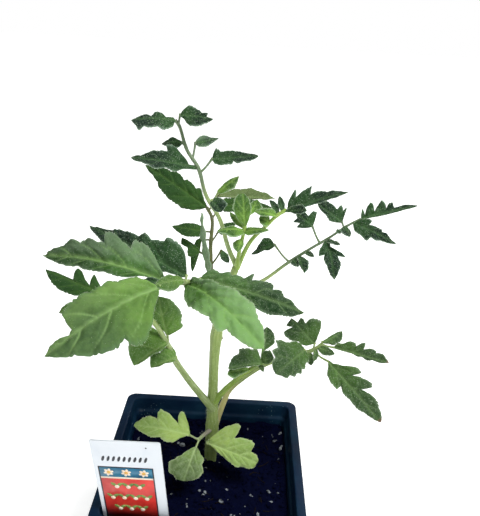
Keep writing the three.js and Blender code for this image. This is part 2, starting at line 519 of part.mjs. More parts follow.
function potGeometry() {
  const { height, rimHalf, flangeWidth, lip, wall, floorHalf, shoulder, step } = POT;
  const rimInner = rimHalf - flangeWidth;
  const upperInner = innerHalf(shoulder) + step;
  const profile = [
    [floorHalf, 0],
    [innerHalf(shoulder) + wall, shoulder - wall],
    [upperInner + wall, shoulder],
    [rimInner + wall, height - wall],
    [rimHalf - wall, height - wall],
    [rimHalf - wall, height - lip],
    [rimHalf, height - lip],
    [rimHalf, height],
    [rimInner, height],
    [upperInner, shoulder + wall],
    [innerHalf(shoulder), shoulder],
    [innerHalf(wall), wall],
  ];
  const rings = profile.map(([half, z]) => squareRing(half, z));
  let pot = solid(loft(rings, [vec([0, 0, 0]), vec([0, 0, wall])]));
  for (const x of [-POT.holeOffset, POT.holeOffset]) {
    for (const y of [-POT.holeOffset, POT.holeOffset]) {
      const hole = new THREE.CylinderGeometry(POT.holeRadius, POT.holeRadius, 4 * wall, 12);
      hole.rotateX(Math.PI / 2);
      hole.translate(x, y, 0);
      pot = pot.subtract(solid(hole));
    }
  }
  return geometryOf(pot);
}

/** Height of the soil's lumpy surface. */
function soilHeight(x, y) {
  const waves = Math.sin(0.31 * x + 1.7) * Math.cos(0.27 * y - 0.4)
    + 0.6 * Math.sin(0.62 * x - 0.55 * y) + 0.4 * Math.cos(0.9 * y + 0.35 * x);
  return SOIL.level + SOIL.relief * waves * 0.5;
}

function soilGeometry(obstacles) {
  const bottom = POT.wall + GAP;
  const edge = SOIL.level;
  const rings = [squareRing(innerHalf(bottom) - GAP, bottom)];
  for (let i = 0; i < SOIL.rings; i += 1) {
    const share = 1 - i / SOIL.rings;
    const ring = squareRing(innerHalf(edge) - GAP, edge);
    for (const point of ring) {
      point.x *= share;
      point.y *= share;
      point.z = i === 0 ? edge : soilHeight(point.x, point.y);
    }
    rings.push(ring);
  }
  let soil = solid(loft(rings, [vec([0, 0, bottom]), vec([0, 0, soilHeight(0, 0)])]));
  for (const obstacle of obstacles) soil = soil.subtract(obstacle);
  return geometryOf(soil);
}

/** The label grown by `grow` on every side, standing upright round its foot. */
function labelGeometry(grow = 0) {
  const half = LABEL.width / 2 + grow;
  const top = LABEL.height + grow;
  const stake = LABEL.stakeWidth / 2 + grow;
  const point = LABEL.pointWidth / 2 + grow;
  const radius = LABEL.corner;
  const outline = new THREE.Shape();
  outline.moveTo(-point, -LABEL.stakeHeight - grow);
  outline.lineTo(point, -LABEL.stakeHeight - grow);
  outline.lineTo(stake, -LABEL.shoulder);
  outline.lineTo(half, 0);
  outline.lineTo(half, top - radius);
  outline.absarc(half - radius, top - radius, radius, 0, Math.PI / 2);
  outline.absarc(radius - half, top - radius, radius, Math.PI / 2, Math.PI);
  outline.lineTo(-half, 0);
  outline.lineTo(-stake, -LABEL.shoulder);
  const depth = LABEL.thick + 2 * grow;
  const geometry = new THREE.ExtrudeGeometry(outline, { depth, bevelEnabled: false, curveSegments: 3 });
  geometry.translate(0, 0, -depth / 2);
  geometry.rotateX(Math.PI / 2);
  return geometry;
}

/** Puts an upright label, or a mesh of one, at its foot with its two leans and its turn. */
function placeLabel(object) {
  const angles = [LABEL.leanForward, -LABEL.leanLeft, LABEL.turn].map(THREE.MathUtils.degToRad);
  object.rotation.set(...angles, 'ZYX');
  object.position.set(...LABEL.foot);
  object.updateMatrix();
  return object;
}

// ---------------------------------------------------------------- the plant

/** The main stem, grown by `grow` on every side. */
function stemGeometry(grow = 0) {
  const spread = STEM.radii.map((radius, i) => [i / (STEM.radii.length - 1), radius + grow]);
  const shape = { sides: STEM.sides, steps: STEM.steps, overhang: grow };
  return tube(curveThrough(STEM.points), (share) => interpolate(spread, share), shape);
}

/** A leaf's stalk, grown by `grow` on every side. */
function stalkGeometry({ stalk, radius }, grow = 0) {
  const taper = (share) => THREE.MathUtils.lerp(radius[0], radius[1], share) + grow;
  const shape = { sides: STALK.sides, steps: STALK.stepsPerPoint * (stalk.length - 1), overhang: grow };
  return tube(curveThrough(stalk), taper, shape);
}

/** The thin stalk of one leaflet, from the leaf's stalk to the leaflet's root. */
function stalkletGeometry(from, to) {
  return tube(new THREE.LineCurve3(from, to), () => STALKLET.radius, { sides: STALKLET.sides, steps: 1 });
}

/** A leaflet's blade: rows across the midrib, each with a left edge, the rib and a right edge. */
function bladeGeometry(root, { tip, lean, cant = 0, arch = 0, rake = BLADE.rake, left, right }) {
  const axis = vec(tip).sub(root);
  const length = axis.length();
  axis.normalize();
  const [leanAngle, cantAngle] = [lean, cant].map(THREE.MathUtils.degToRad);
  const face = new THREE.Vector3(
    Math.sin(cantAngle),
    -Math.sin(leanAngle) * Math.cos(cantAngle),
    Math.cos(leanAngle) * Math.cos(cantAngle),
  );
  const up = face.addScaledVector(axis, -face.dot(axis)).normalize();
  const side = new THREE.Vector3().crossVectors(up, axis);
  const edge = (points) => [
    ...(points[0][0] > 0 ? [[0, BLADE.rootHalf]] : []), ...points, [1, BLADE.tipHalf],
  ];
  const edges = [edge(left), edge(right)];
  const rows = [...new Set(edges.flat().map(([share]) => share))].sort((a, b) => a - b);

  const points = [];
  for (const share of rows) {
    for (const [sign, half] of [[1, edges[0]], [0, null], [-1, edges[1]]]) {
      const reach = half ? interpolate(half, share) : 0;
      const u = share + (rake * reach) / length;
      const slope = axis.clone().multiplyScalar(length).addScaledVector(up, arch * 4 * (1 - 2 * u));
      const normal = new THREE.Vector3().crossVectors(slope, side).normalize();
      const centre = vec(root.toArray())
        .addScaledVector(axis, length * u)
        .addScaledVector(up, arch * 4 * u * (1 - u))
        .addScaledVector(side, sign * reach)
        .addScaledVector(normal, BLADE.fold * reach);
      points.push(centre.clone().addScaledVector(normal, BLADE.thick / 2));
      points.push(centre.clone().addScaledVector(normal, -BLADE.thick / 2));
    }
  }

  const perRow = 6; // upper and lower point of the left edge, the rib and the right edge
  const triangles = [];
  const quad = (a, b, c, d) => triangles.push([a, b, c], [a, c, d]);
  for (let row = 0; row < rows.length - 1; row += 1) {
    const a = row * perRow;
    const b = a + perRow;
    for (const column of [0, 2]) {
      quad(a + column, b + column, b + column + 2, a + column + 2);
      triangles.push([a + column + 1, b + column + 3, b + column + 1]);
      triangles.push([a + column + 1, a + column + 3, b + column + 3]);
    }
    quad(a, a + 1, b + 1, b);
    quad(a + 4, b + 4, b + 5, a + 5);
  }
  const end = (rows.length - 1) * perRow;
  for (const column of [0, 2]) {
    quad(column, column + 2, column + 3, column + 1);
    quad(end + column, end + column + 1, end + column + 3, end + column + 2);
  }
  return faceted(points, triangles);
}

/** One compound leaf with its blades and stalklets fused to its stalk. */
function leafSolid(leaf) {
  const curve = curveThrough(leaf.stalk);
  let body = solid(stalkGeometry(leaf));
  for (const leaflet of leaf.leaflets) {
    const start = curve.getPointAt(leaflet.along);
    const root = leaflet.root ? vec(leaflet.root) : start;
    if (leaflet.root) body = body.add(solid(stalkletGeometry(start, root)));
    body = body.add(solid(bladeGeometry(root, leaflet)));
  }
  return body;
}

// ---------------------------------------------------------------- assembly

const group = new THREE.Group();

function addMesh(name, geometry) {
  const mesh = new THREE.Mesh(geometry, material(name));
  mesh.name = name;
  group.add(mesh);
  return mesh;
}

addMesh('pot', potGeometry());
addMesh('main_stem', stemGeometry());
placeLabel(addMesh('label', labelGeometry()));

const labelSlot = labelGeometry(GAP);
labelSlot.applyMatrix4(placeLabel(new THREE.Object3D()).matrix);
const stemHole = solid(stemGeometry(GAP));
addMesh('soil', soilGeometry([stemHole, solid(labelSlot)]));

let taken = stemHole;
for (const [name, leaf] of Object.entries(LEAVES)) {
  addMesh(name, geometryOf(leafSolid(leaf).subtract(taken)));
  taken = taken.add(solid(stalkGeometry(leaf, GAP)));
}

export default group;
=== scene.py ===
"""A young tomato plant in a square nursery pot, dressed for rendering.

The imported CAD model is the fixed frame. Every node of it is replaced by a finer piece in the same
place: the leaves get their rounded lobes, sunken veins, quilted blades and hairs, the pot its
rounded rim, the soil its crumbs and perlite, and the label its printed panel.

Sizes in this file are millimetres in the frame of the CAD model: +Z up, -Y toward the camera, the
origin in the middle of the pot's underside. They are turned to metres when a mesh is made.
"""

from __future__ import annotations

import logging
import math
import random
from collections.abc import Callable, Sequence
from dataclasses import dataclass, field
from enum import Enum

import bmesh
import bpy
import numpy as np
from bpy.types import Material, Node, NodeSocket, NodeTree, Object
from mathutils import Euler, Matrix, Vector, noise

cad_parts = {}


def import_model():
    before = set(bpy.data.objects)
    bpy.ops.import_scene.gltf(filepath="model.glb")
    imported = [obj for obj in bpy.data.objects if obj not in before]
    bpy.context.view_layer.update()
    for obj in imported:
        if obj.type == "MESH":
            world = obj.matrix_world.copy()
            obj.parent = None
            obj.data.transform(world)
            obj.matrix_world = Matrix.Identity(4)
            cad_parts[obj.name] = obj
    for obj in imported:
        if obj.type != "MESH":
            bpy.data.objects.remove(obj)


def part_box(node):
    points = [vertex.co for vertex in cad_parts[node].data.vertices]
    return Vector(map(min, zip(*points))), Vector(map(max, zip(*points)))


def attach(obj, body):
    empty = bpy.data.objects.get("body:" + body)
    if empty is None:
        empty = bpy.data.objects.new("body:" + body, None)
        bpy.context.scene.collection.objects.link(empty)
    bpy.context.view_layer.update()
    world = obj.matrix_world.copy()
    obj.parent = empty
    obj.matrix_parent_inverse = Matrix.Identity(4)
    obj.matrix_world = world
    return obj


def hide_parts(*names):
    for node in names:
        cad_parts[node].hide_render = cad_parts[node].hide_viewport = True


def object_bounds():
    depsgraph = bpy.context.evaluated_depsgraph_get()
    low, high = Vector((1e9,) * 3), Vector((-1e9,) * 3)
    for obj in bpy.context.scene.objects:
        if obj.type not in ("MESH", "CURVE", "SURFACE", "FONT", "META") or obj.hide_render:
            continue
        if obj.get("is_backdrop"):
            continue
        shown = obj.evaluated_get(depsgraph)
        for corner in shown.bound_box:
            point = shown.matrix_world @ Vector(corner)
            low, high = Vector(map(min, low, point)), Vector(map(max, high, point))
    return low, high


LOG = logging.getLogger("tomato_plant")

MM = 0.001
IMAGE_WIDTH = 480
IMAGE_HEIGHT = 516
BODY = "root"

Point = tuple[float, float, float]
Edge = list[tuple[float, float]]


# ------------------------------------------------------------------ colours and shader nodes


MIX_FACTOR, MIX_A, MIX_B, MIX_RESULT = 0, 6, 7, 2  # the colour sockets of Blender's Mix node

# The meshes' attributes: shares from 0 to 1, and a point's place on its blade or stalk, laid flat.
# One of the shares is a painted sheen on a leaflet's half, which also stands for its grey down.
BLADE_SHARES = ("vein", "fresh", "edge", "frost", "scorch")
BLADE_PLACE = "blade_mm"


def linear(code: str) -> tuple[float, float, float, float]:
    """Turn an sRGB hex colour into Blender's linear colour.

    Args:
        code: Six hex digits, such as "1b3350".

    Returns:
        Red, green and blue in linear light, and an alpha of 1.
    """
    channels = [int(code[i:i + 2], 16) / 255 for i in (0, 2, 4)]
    red, green, blue = (c / 12.92 if c <= 0.04045 else ((c + 0.055) / 1.055) ** 2.4 for c in channels)
    return red, green, blue, 1.0


def fill(tree: NodeTree, node: Node, values: dict[str | int, object]) -> None:
    """Give a node its settings and links.

    Args:
        tree: The material's node tree.
        node: The node.
        values: A value for each of the node's own properties, or of its inputs by name or number.
            A socket is linked to the input, and a hex colour is turned to linear light.
    """
    for key, value in values.items():
        if isinstance(key, str) and hasattr(node, key):
            setattr(node, key, value)
        elif isinstance(value, NodeSocket):
            tree.links.new(value, node.inputs[key])
        else:
            node.inputs[key].default_value = linear(value) if isinstance(value, str) else value


def add_node(
    tree: NodeTree, kind: str, values: dict[str | int, object] | None = None
) -> Node:
    """Add one shader node.

    Args:
        tree: The material's node tree.
        kind: The node's type name after "ShaderNode", such as "TexNoise".
        values: Its settings and links, as `fill` takes them.

    Returns:
        The new node.
    """
    node = tree.nodes.new(f"ShaderNode{kind}")
    fill(tree, node, values or {})
    return node


def layered(
    tree: NodeTree, base: object, *layers: tuple[NodeSocket, str]
) -> NodeSocket:
    """Lay colours over a base colour, one after the other.

    Args:
        tree: The material's node tree.
        base: The lowest colour, as a hex code.
        layers: For each colour over it, the socket of how far it covers what lies below, and its
            hex code.

    Returns:
        The finished colour's socket.
    """
    for cover, colour in layers:
        settings = {"data_type": "RGBA", MIX_FACTOR: cover, MIX_A: base, MIX_B: colour}
        base = add_node(tree, "Mix", settings).outputs[MIX_RESULT]
    return base


def new_material(name: str) -> tuple[Material, NodeTree, Node]:
    """Make a material with an empty Principled shader.

    Args:
        name: The finish's name.

    Returns:
        The material, its node tree and its Principled node.
    """
    material = bpy.data.materials.new(name)
    material.use_nodes = True
    return material, material.node_tree, material.node_tree.nodes["Principled BSDF"]


@dataclass(frozen=True)
class Pattern:
    """A random pattern of noise, or of dots in the middles of random cells.

    It covers nothing where the texture is `low` and all where it is `high`. Dots do the reverse:
    their texture is the distance from a cell's middle.
    """

    size_mm: float
    low: float = 0.0
    high: float = 1.0
    detail: float = 2.0
    rough: float = 0.5
    dots: bool = False

    def texture(
        self, tree: NodeTree, place: NodeSocket, millimetre: float = MM
    ) -> NodeSocket:
        """Add the texture.

        Args:
            tree: The material's node tree.
            place: The coordinates that it is laid in.
            millimetre: How long a millimetre is in those coordinates.

        Returns:
            The texture's value.
        """
        settings = {"Scale": 1 / (self.size_mm * millimetre), "Vector": place}
        if self.dots:
            return add_node(tree, "TexVoronoi", {"feature": "F1", **settings}).outputs["Distance"]
        settings |= {"Detail": self.detail, "Roughness": self.rough}
        return add_node(tree, "TexNoise", settings).outputs["Fac"]

    def cover(
        self, tree: NodeTree, texture: NodeSocket, most: float = 1.0, least: float = 0.0
    ) -> NodeSocket:
        """Spread the texture smoothly over the pattern's cover.

        Args:
            tree: The material's node tree.
            texture: The texture's value.
            most: The cover where the pattern is fullest.
            least: The cover where there is none of it.

        Returns:
            How far the pattern covers.
        """
        ends = (most, least) if self.dots else (least, most)
        settings = {"interpolation_type": "SMOOTHSTEP", "Value": texture, "From Min": self.low}
        settings |= {"From Max": self.high, "To Min": ends[0], "To Max": ends[1]}
        return add_node(tree, "MapRange", settings).outputs["Result"]


# ------------------------------------------------------------------ finishes


@dataclass(frozen=True)
class LeafBlade:
    """Living tomato leaf, grown, with a waxy skin over soft tissue and a coat of fine hairs.

    The skin scatters light in all directions, so the blade looks matt. Its veins are paler than the
    tissue between them, and pale specks, drawn coarser than life so that they show, stand partly for
    the hairs' feet and partly are painted glints of light on the hairs. The mesh's attributes say
    where a blade is young, veined or dried up, and where a half carries a painted sheen that also
    stands for its grey down.
    """

    name: str
    tissue: str
    fresh: str
    vein: str
    speck: str
    margin: str
    speck_share: float = 0.5
    mottle: float = 0.3
    dark_share: float = 0.35
    scorched: str = "7d6250"
    roughness: float = 0.7
    relief_mm: float = 0.45
    patches: Pattern = Pattern(4.545, 0.35, 0.65, detail=3.0)
    blotches: Pattern = Pattern(1.6, 0.36, 0.66, detail=4.0, rough=0.65)
    specks: Pattern = Pattern(0.66, 0.05, 0.36, dots=True)

    def material(self) -> Material:
        """Build the blade's material.

        Returns:
            The finished material.
        """
        material, tree, shader = new_material(self.name)
        place = add_node(tree, "Attribute", {"attribute_name": BLADE_PLACE}).outputs["Vector"]
        vein, fresh, edge, frost, scorch = (
            add_node(tree, "Attribute", {"attribute_name": name}).outputs["Fac"] for name in BLADE_SHARES
        )
        youth = add_node(tree, "MapRange", {"interpolation_type": "SMOOTHSTEP", "Value": fresh})
        patches, blotches, specks = (
            pattern.texture(tree, place, 1.0) for pattern in (self.patches, self.blotches, self.specks)
        )
        bump = add_node(tree, "Bump", {"Distance": self.relief_mm * MM, "Height": blotches})
        colour = layered(
            tree,
            self.tissue,
            (youth.outputs["Result"], self.fresh),
            (self.patches.cover(tree, patches, self.dark_share), self.tissue),
            (self.blotches.cover(tree, blotches, self.mottle), self.speck),
            # Pale specks: partly the hairs' feet, partly painted glints of light on the hairs.
            (self.specks.cover(tree, specks, self.speck_share), self.speck),
            # Painted sheen: the half that catches the light is laid over with the pale speck colour, which
            # also stands for its grey down.
            (frost, self.speck),
            (vein, self.vein),
            (edge, self.margin),
            (scorch, self.scorched),
        )
        fill(tree, shader, {
            "Base Color": colour,
            "Roughness": self.roughness,
            "IOR": 1.42,
            "Specular IOR Level": 0.1,
            "Subsurface Weight": 0.12,
            "Subsurface Radius": (0.4, 0.9, 0.2),
            "Subsurface Scale": 0.6 * MM,
            "Normal": bump.outputs["Normal"],
        })
        return material


@dataclass(frozen=True)
class GreenSkin:
    """Skin of a living stem or leaf stalk: juicy, with long pale streaks and a soft satin gloss."""

    name: str
    light: str
    deep: str
    dusk: str
    roughness: float = 0.48
    stretch: float = 0.12
    relief_mm: float = 0.1
    streaks: Pattern = Pattern(0.7, 0.38, 0.66, detail=3.0)

    def material(self) -> Material:
        """Build the skin's material.

        Returns:
            The finished material.
        """
        material, tree, shader = new_material(self.name)
        place = add_node(tree, "Attribute", {"attribute_name": BLADE_PLACE}).outputs["Vector"]
        shade = add_node(tree, "Attribute", {"attribute_name": "vein"}).outputs["Fac"]
        along = add_node(tree, "Mapping", {"Scale": (self.stretch, 1.0, 1.0), "Vector": place})
        streaks = self.streaks.texture(tree, along.outputs["Vector"], 1.0)
        bump = add_node(tree, "Bump", {"Distance": self.relief_mm * MM, "Height": streaks})
        pale = self.streaks.cover(tree, streaks)
        fill(tree, shader, {
            "Base Color": layered(tree, self.deep, (pale, self.light), (shade, self.dusk)),
            "Roughness": self.roughness,
            "IOR": 1.4,
            "Subsurface Weight": 0.2,
            "Subsurface Radius": (0.8, 1.0, 0.3),
            "Subsurface Scale": 1.2 * MM,
            "Normal": bump.outputs["Normal"],
        })
        return material


@dataclass(frozen=True)
class MouldedPolypropylene:
    """Injection-moulded polypropylene of a nursery pot: smooth, a little waxy, dusted with soil."""

    name: str
    plastic: str
    worn: str
    dust: str
    roughness: float = 0.4
    polish: float = 0.06
    wear: float = 0.2
    dust_share: float = 0.75
    relief_mm: float = 0.25
    haze: Pattern = Pattern(14, 0.4, 0.75, detail=5.0)
    scuffs: Pattern = Pattern(14, 0.3, 0.8, detail=5.0)
    grains: Pattern = Pattern(1.6, 0.06, 0.2, dots=True)
    drifts: Pattern = Pattern(18, 0.52, 0.68)
    ripples: Pattern = Pattern(5)

    def material(self) -> Material:
        """Build the plastic's material.

        Returns:
            The finished material.
        """
        material, tree, shader = new_material(self.name)
        place = add_node(tree, "TexCoord").outputs["Object"]
        haze, grains, drifts, ripples = (
            pattern.texture(tree, place) for pattern in (self.haze, self.grains, self.drifts, self.ripples)
        )
        dusty = add_node(tree, "Math", {
            "operation": "MULTIPLY",
            0: self.drifts.cover(tree, drifts),
            1: self.grains.cover(tree, grains, self.dust_share),
        })
        bump = add_node(tree, "Bump", {"Distance": self.relief_mm * MM, "Height": ripples})
        hazy = self.haze.cover(tree, haze)
        fill(tree, shader, {
            "Base Color": layered(tree, self.plastic, (hazy, self.worn), (dusty.outputs[0], self.dust)),
            "Roughness": self.scuffs.cover(
                tree, haze, self.roughness + self.wear, self.roughness - self.polish
            ),
            "IOR": 1.49,
            "Specular IOR Level": 0.14,
            "Normal": bump.outputs["Normal"],
        })
        return material


@dataclass(frozen=True)
class TwoToneFinish:
    """A finish whose second colour covers the first in one pattern, with a relief if it has one."""

    name: str
    ground: str
    mark: str
    marks: Pattern
    relief: Pattern | None = None
    relief_mm: float = 0.0
    roughness: float = 0.5
    ior: float = 1.5
    specular: float = 0.5

    def material(self) -> Material:
        """Build the finish's material.

        Returns:
            The finished material.
        """
        material, tree, shader = new_material(self.name)
        place = add_node(tree, "TexCoord").outputs["Object"]
        cover = self.marks.cover(tree, self.marks.texture(tree, place))
        fill(tree, shader, {
            "Base Color": layered(tree, self.ground, (cover, self.mark)),
            "Roughness": self.roughness,
            "IOR": self.ior,
            "Specular IOR Level": self.specular,
        })
        if self.relief:
            height = self.relief.texture(tree, place)
            bump = add_node(tree, "Bump", {"Distance": self.relief_mm * MM, "Height": height})
            fill(tree, shader, {"Normal": bump.outputs["Normal"]})
        return material


@dataclass(frozen=True)
class PaleHair(TwoToneFinish):
    """The plant's fine glassy hairs, drawn thicker than life so that they show as pale fuzz."""

    marks: Pattern = Pattern(8, 0.3, 0.7)


@dataclass(frozen=True)
class PottingMix(TwoToneFinish):
    """Damp peat, sieved: nearly black, crumbly and matt; the cold blue in its colours is a painted sheen of
    the damp.
    """

    marks: Pattern = Pattern(1.4, 0.5, 0.8, detail=6.0, rough=0.7)
    relief: Pattern = Pattern(1.4, detail=6.0, rough=0.7)
    relief_mm: float = 0.8
    roughness: float = 0.9
    specular: float = 0.06


@dataclass(frozen=True)
class BarkFibre(PottingMix):
    """Shredded bark in the mix: brown, matt and finely split."""

    marks: Pattern = Pattern(0.6, 0.5, 0.8, detail=6.0, rough=0.7)
    relief: Pattern = Pattern(0.6, detail=6.0, rough=0.7)


@dataclass(frozen=True)
class ExpandedPerlite(TwoToneFinish):
    """Perlite, a volcanic glass puffed up by heat: pale chalky grains with tiny dark pits."""

    marks: Pattern = Pattern(2.2, 0.42, 0.7, detail=4.0)
    relief: Pattern = Pattern(0.5, dots=True)
    relief_mm: float = 0.15
    roughness: float = 0.95


@dataclass(frozen=True)
class PolystyreneSheet(TwoToneFinish):
    """High-impact polystyrene sheet of a plant label: die-cut, smooth, faintly blue-white."""

    marks: Pattern = Pattern(9, 0.5, 0.85, detail=5.0)
    relief: Pattern = Pattern(9, detail=5.0)
    relief_mm: float = 0.05
    roughness: float = 0.38
    ior: float = 1.59


@dataclass(frozen=True)
class PrintedInk(TwoToneFinish):
    """Offset ink on the label: thin, even and slightly glossier than the sheet."""

    marks: Pattern = Pattern(5, 0.35, 0.7)
    roughness: float = 0.3


class Tone(Enum):
    """The greens of the plant's leaflets."""

    DEEP = "deep"
    MIDDLE = "middle"
    WARM = "warm"
    VIVID = "vivid"
    RICH = "rich"
    SOFT = "soft"
    LIGHT = "light"
    YOUNG = "young"
    SEED = "seed"
    OLIVE = "olive"
    MILD = "mild"
    FROSTY = "frosty"
    DUSTY = "dusty"


def blades_of(side: str, looks: dict[Tone, tuple[str | float, ...]]) -> dict[Tone, LeafBlade]:
    """Make one side's finishes.

    Args:
        side: The side of the blade, for the finishes' names.
        looks: For each tone its colours (tissue, fresh tissue, vein, speck and margin) and how far
            the specks and the mottle cover.

    Returns:
        The finish for each tone.
    """
    return {tone: LeafBlade(f"leaf_{side}_{tone.value}", *look) for tone, look in looks.items()}


UPPER_FINISHES = blades_of("upper", {
    Tone.DEEP: ("14281b", "2b4a26", "4f6e46", "a3b8a0", "7c947e", 0.5, 0.06),
    Tone.MIDDLE: ("344d2b", "486830", "6f8b58", "a8ba9c", "83987a", 0.48, 0.08),
    Tone.WARM: ("48692f", "5c8236", "86a261", "a0b58c", "7f9674", 0.4, 0.1),
    Tone.VIVID: ("27421e", "40682a", "86a964", "8ca084", "74896e", 0.26, 0.14),
    Tone.RICH: ("1c3719", "446a2b", "7c9a64", "9ab090", "74896e", 0.42, 0.1),
    Tone.SOFT: ("46603a", "62863f", "93b472", "84a65c", "5c7852", 0.1, 0.12),
    Tone.LIGHT: ("739b5a", "2a4e0a", "82a95c", "8aa284", "8ea67e", 0.1, 0.12),
    Tone.YOUNG: ("345723", "668f37", "90b45a", "8ba670", "a4bc94", 0.34, 0.2),
    Tone.SEED: ("849f54", "a0b965", "b0c884", "b2c892", "b6c892", 0.26, 0.25),
    Tone.OLIVE: ("25421f", "335224", "4c6a33", "4c6640", "425a38", 0.12, 0.2),
    Tone.MILD: ("5a6b40", "66784a", "7a8c5c", "7c8f66", "70835c", 0.12, 0.2),
    Tone.FROSTY: ("5c7458", "6b8560", "8fa584", "a3b59c", "9aae94", 0.3, 0.2),
    Tone.DUSTY: ("5f7546", "768f50", "a9bd88", "9aad88", "b0c290", 0.34, 0.3),
})

LOWER_FINISHES = blades_of("under", {
    Tone.DEEP: ("4e6b50", "5f7c55", "84a078", "94aa90", "8fa88f", 0.3, 0.2),
    Tone.MIDDLE: ("638355", "749458", "9cb67e", "a4b996", "93ad86", 0.3, 0.2),
    Tone.WARM: ("6a8850", "7c9a58", "a0ba7a", "a4b990", "93ad86", 0.3, 0.2),
    Tone.VIVID: ("64844c", "789656", "a0bc7c", "a2b890", "90aa82", 0.3, 0.2),
    Tone.RICH: ("5a7a54", "6a8a54", "90ac7a", "9cb294", "8fa88f", 0.3, 0.2),
    Tone.SOFT: ("71925e", "82a364", "a9c18a", "aec09e", "9ab587", 0.2, 0.2),
    Tone.LIGHT: ("729c54", "86b066", "b0cd8e", "b3cc9c", "9fc084", 0.2, 0.2),
    Tone.YOUNG: ("84a455", "98b660", "b6cc84", "bbcf98", "b5cb95", 0.2, 0.2),
    Tone.SEED: ("98b06f", "a6bc7b", "c0cf98", "c7d5a9", "c3d69f", 0.2, 0.2),
    Tone.OLIVE: ("6a7f52", "77895a", "8a9c6b", "92a27c", "8a9c70", 0.15, 0.2),
    Tone.MILD: ("74855a", "7f9064", "909f74", "93a27e", "8a9c70", 0.15, 0.2),
    Tone.FROSTY: ("7f9478", "8aa080", "a6b89a", "b0bfa6", "a6b89e", 0.3, 0.2),
    Tone.DUSTY: ("98b06f", "a6bc7b", "c0cf98", "c7d5a9", "c3d69f", 0.2, 0.2),
})


class Skin(Enum):
    """The greens of the stem and the leaf stalks."""

    STEM = "stem"
    PALE = "pale"
    FRESH = "fresh"
    OLIVE = "olive"
    CREAM = "cream"
    ROSY = "rosy"


SKIN_FINISHES: dict[Skin, GreenSkin] = {
    Skin.STEM: GreenSkin("stem_skin", "9fb36c", "8ca25a", "6f8a48"),
    Skin.PALE: GreenSkin("stalk_skin_pale", "a5b67e", "8ca062", "66795a"),
    Skin.FRESH: GreenSkin("stalk_skin_fresh", "9fb95f", "86a34a", "5f7a44"),
    Skin.OLIVE: GreenSkin("stalk_skin_olive", "5f6436", "454c26", "3c4424"),
    Skin.CREAM: GreenSkin("stalk_skin_cream", "98aa6c", "82965a", "c8c184"),
    Skin.ROSY: GreenSkin("stalk_skin_rosy", "a5b383", "93a373", "948f80"),
}

HAIR = PaleHair("plant_hair", "c9d8b0", "dfe8d2")
POT_PLASTIC = MouldedPolypropylene("pot_polypropylene", "08213a", "12344a", "7d949a")
# The peat's blue-black colours hold a painted sheen.
PEAT = PottingMix("potting_peat", "010420", "050a2a")
PERLITE = ExpandedPerlite("perlite", "8a9095", "30343a")
FIBRE = BarkFibre("bark_fibre", "1c1614", "3a3028")
LABEL_SHEET = PolystyreneSheet("label_polystyrene", "dce2e8", "d2dae2")
INKS = {
    "line": PrintedInk("ink_dark_line", "2a3038", "20262e"),
    "red": PrintedInk("ink_red", "d83a31", "c42a24"),
    "cream": PrintedInk("ink_cream", "f3e3cf", "f0d4b8"),
    "green": PrintedInk("ink_green", "7f9a4a", "5f7f3c"),
    "blue": PrintedInk("ink_blue", "2f7896", "255f7e"),
    "gold": PrintedInk("ink_gold", "e9b95a", "dd9a45"),
}


# ------------------------------------------------------------------ geometry


def unit(vectors: np.ndarray) -> np.ndarray:
    """Scale vectors, along the last axis, to length 1."""
    return vectors / np.maximum(np.linalg.norm(vectors, axis=-1, keepdims=True), 1e-9)


def signed_volume(points: np.ndarray, faces: Sequence[Sequence[int]]) -> float:
    """Six times the volume inside closed faces, negative when they face inward.

    Args:
        points: The points.
        faces: Faces as numbers of the points.

    Returns:
        The volume times six, with its sign.
    """
    volume = 0.0
    for sides in {len(face) for face in faces}:
        corners = points[np.array([face for face in faces if len(face) == sides])]
        for k in range(1, sides - 1):
            fan = np.cross(corners[:, k], corners[:, k + 1])
            volume += float(np.einsum("ij,ij->", corners[:, 0], fan))
    return volume


class Path:
    """A smooth curve through given points, read by the share of its length."""

    PER_SPAN = 24

    def __init__(self, points: Sequence[Point]) -> None:
        """Draw a uniform Catmull-Rom curve through the points.

        Args:
            points: The points that the curve passes through, in order.
        """
        knots = np.array(points, float)
        knots = np.vstack([2 * knots[0] - knots[1], knots, 2 * knots[-1] - knots[-2]])
        t = np.linspace(0, 1, self.PER_SPAN, endpoint=False)[:, None]
        spans = []
        for a, b, c, d in zip(knots, knots[1:], knots[2:], knots[3:]):
            cubic = (2 * b + (c - a) * t + (2 * a - 5 * b + 4 * c - d) * t**2
                     + (3 * b - a - 3 * c + d) * t**3)
            spans.append(cubic / 2)
        self.line = np.vstack([*spans, knots[-2][None]])
        steps = np.linalg.norm(np.diff(self.line, axis=0), axis=1)
        self.run = np.concatenate([[0], np.cumsum(steps)])
        self.length = float(self.run[-1])

    def at(self, shares: np.ndarray | float) -> np.ndarray:
        """The points at the given shares of the length.

        Args:
            shares: One share, or an array of them.

        Returns:
            One point, or an array of points.
        """
        where = np.atleast_1d(shares) * self.length
        points = np.stack([np.interp(where, self.run, self.line[:, k]) for k in range(3)], axis=1)
        return points if np.ndim(shares) else points[0]

    def frames(self, shares: np.ndarray) -> tuple[np.ndarray, np.ndarray, np.ndarray]:
        """Directions along and across the curve that turn no more than they have to.

        Args:
            shares: Shares of the length, rising.

        Returns:
            The unit tangent and two unit vectors across it, for each share.
        """
        reach = 0.5 / self.length
        tangents = unit(self.at(np.minimum(shares + reach, 1)) - self.at(np.maximum(shares - reach, 0)))
        across = np.cross(tangents[0], [0.0, 1.0, 0.0])
        rows = []
        for tangent in tangents:
            across = unit(across - tangent * float(across @ tangent))
            rows.append(across)
        first = np.array(rows)
        return tangents, first, np.cross(tangents, first)


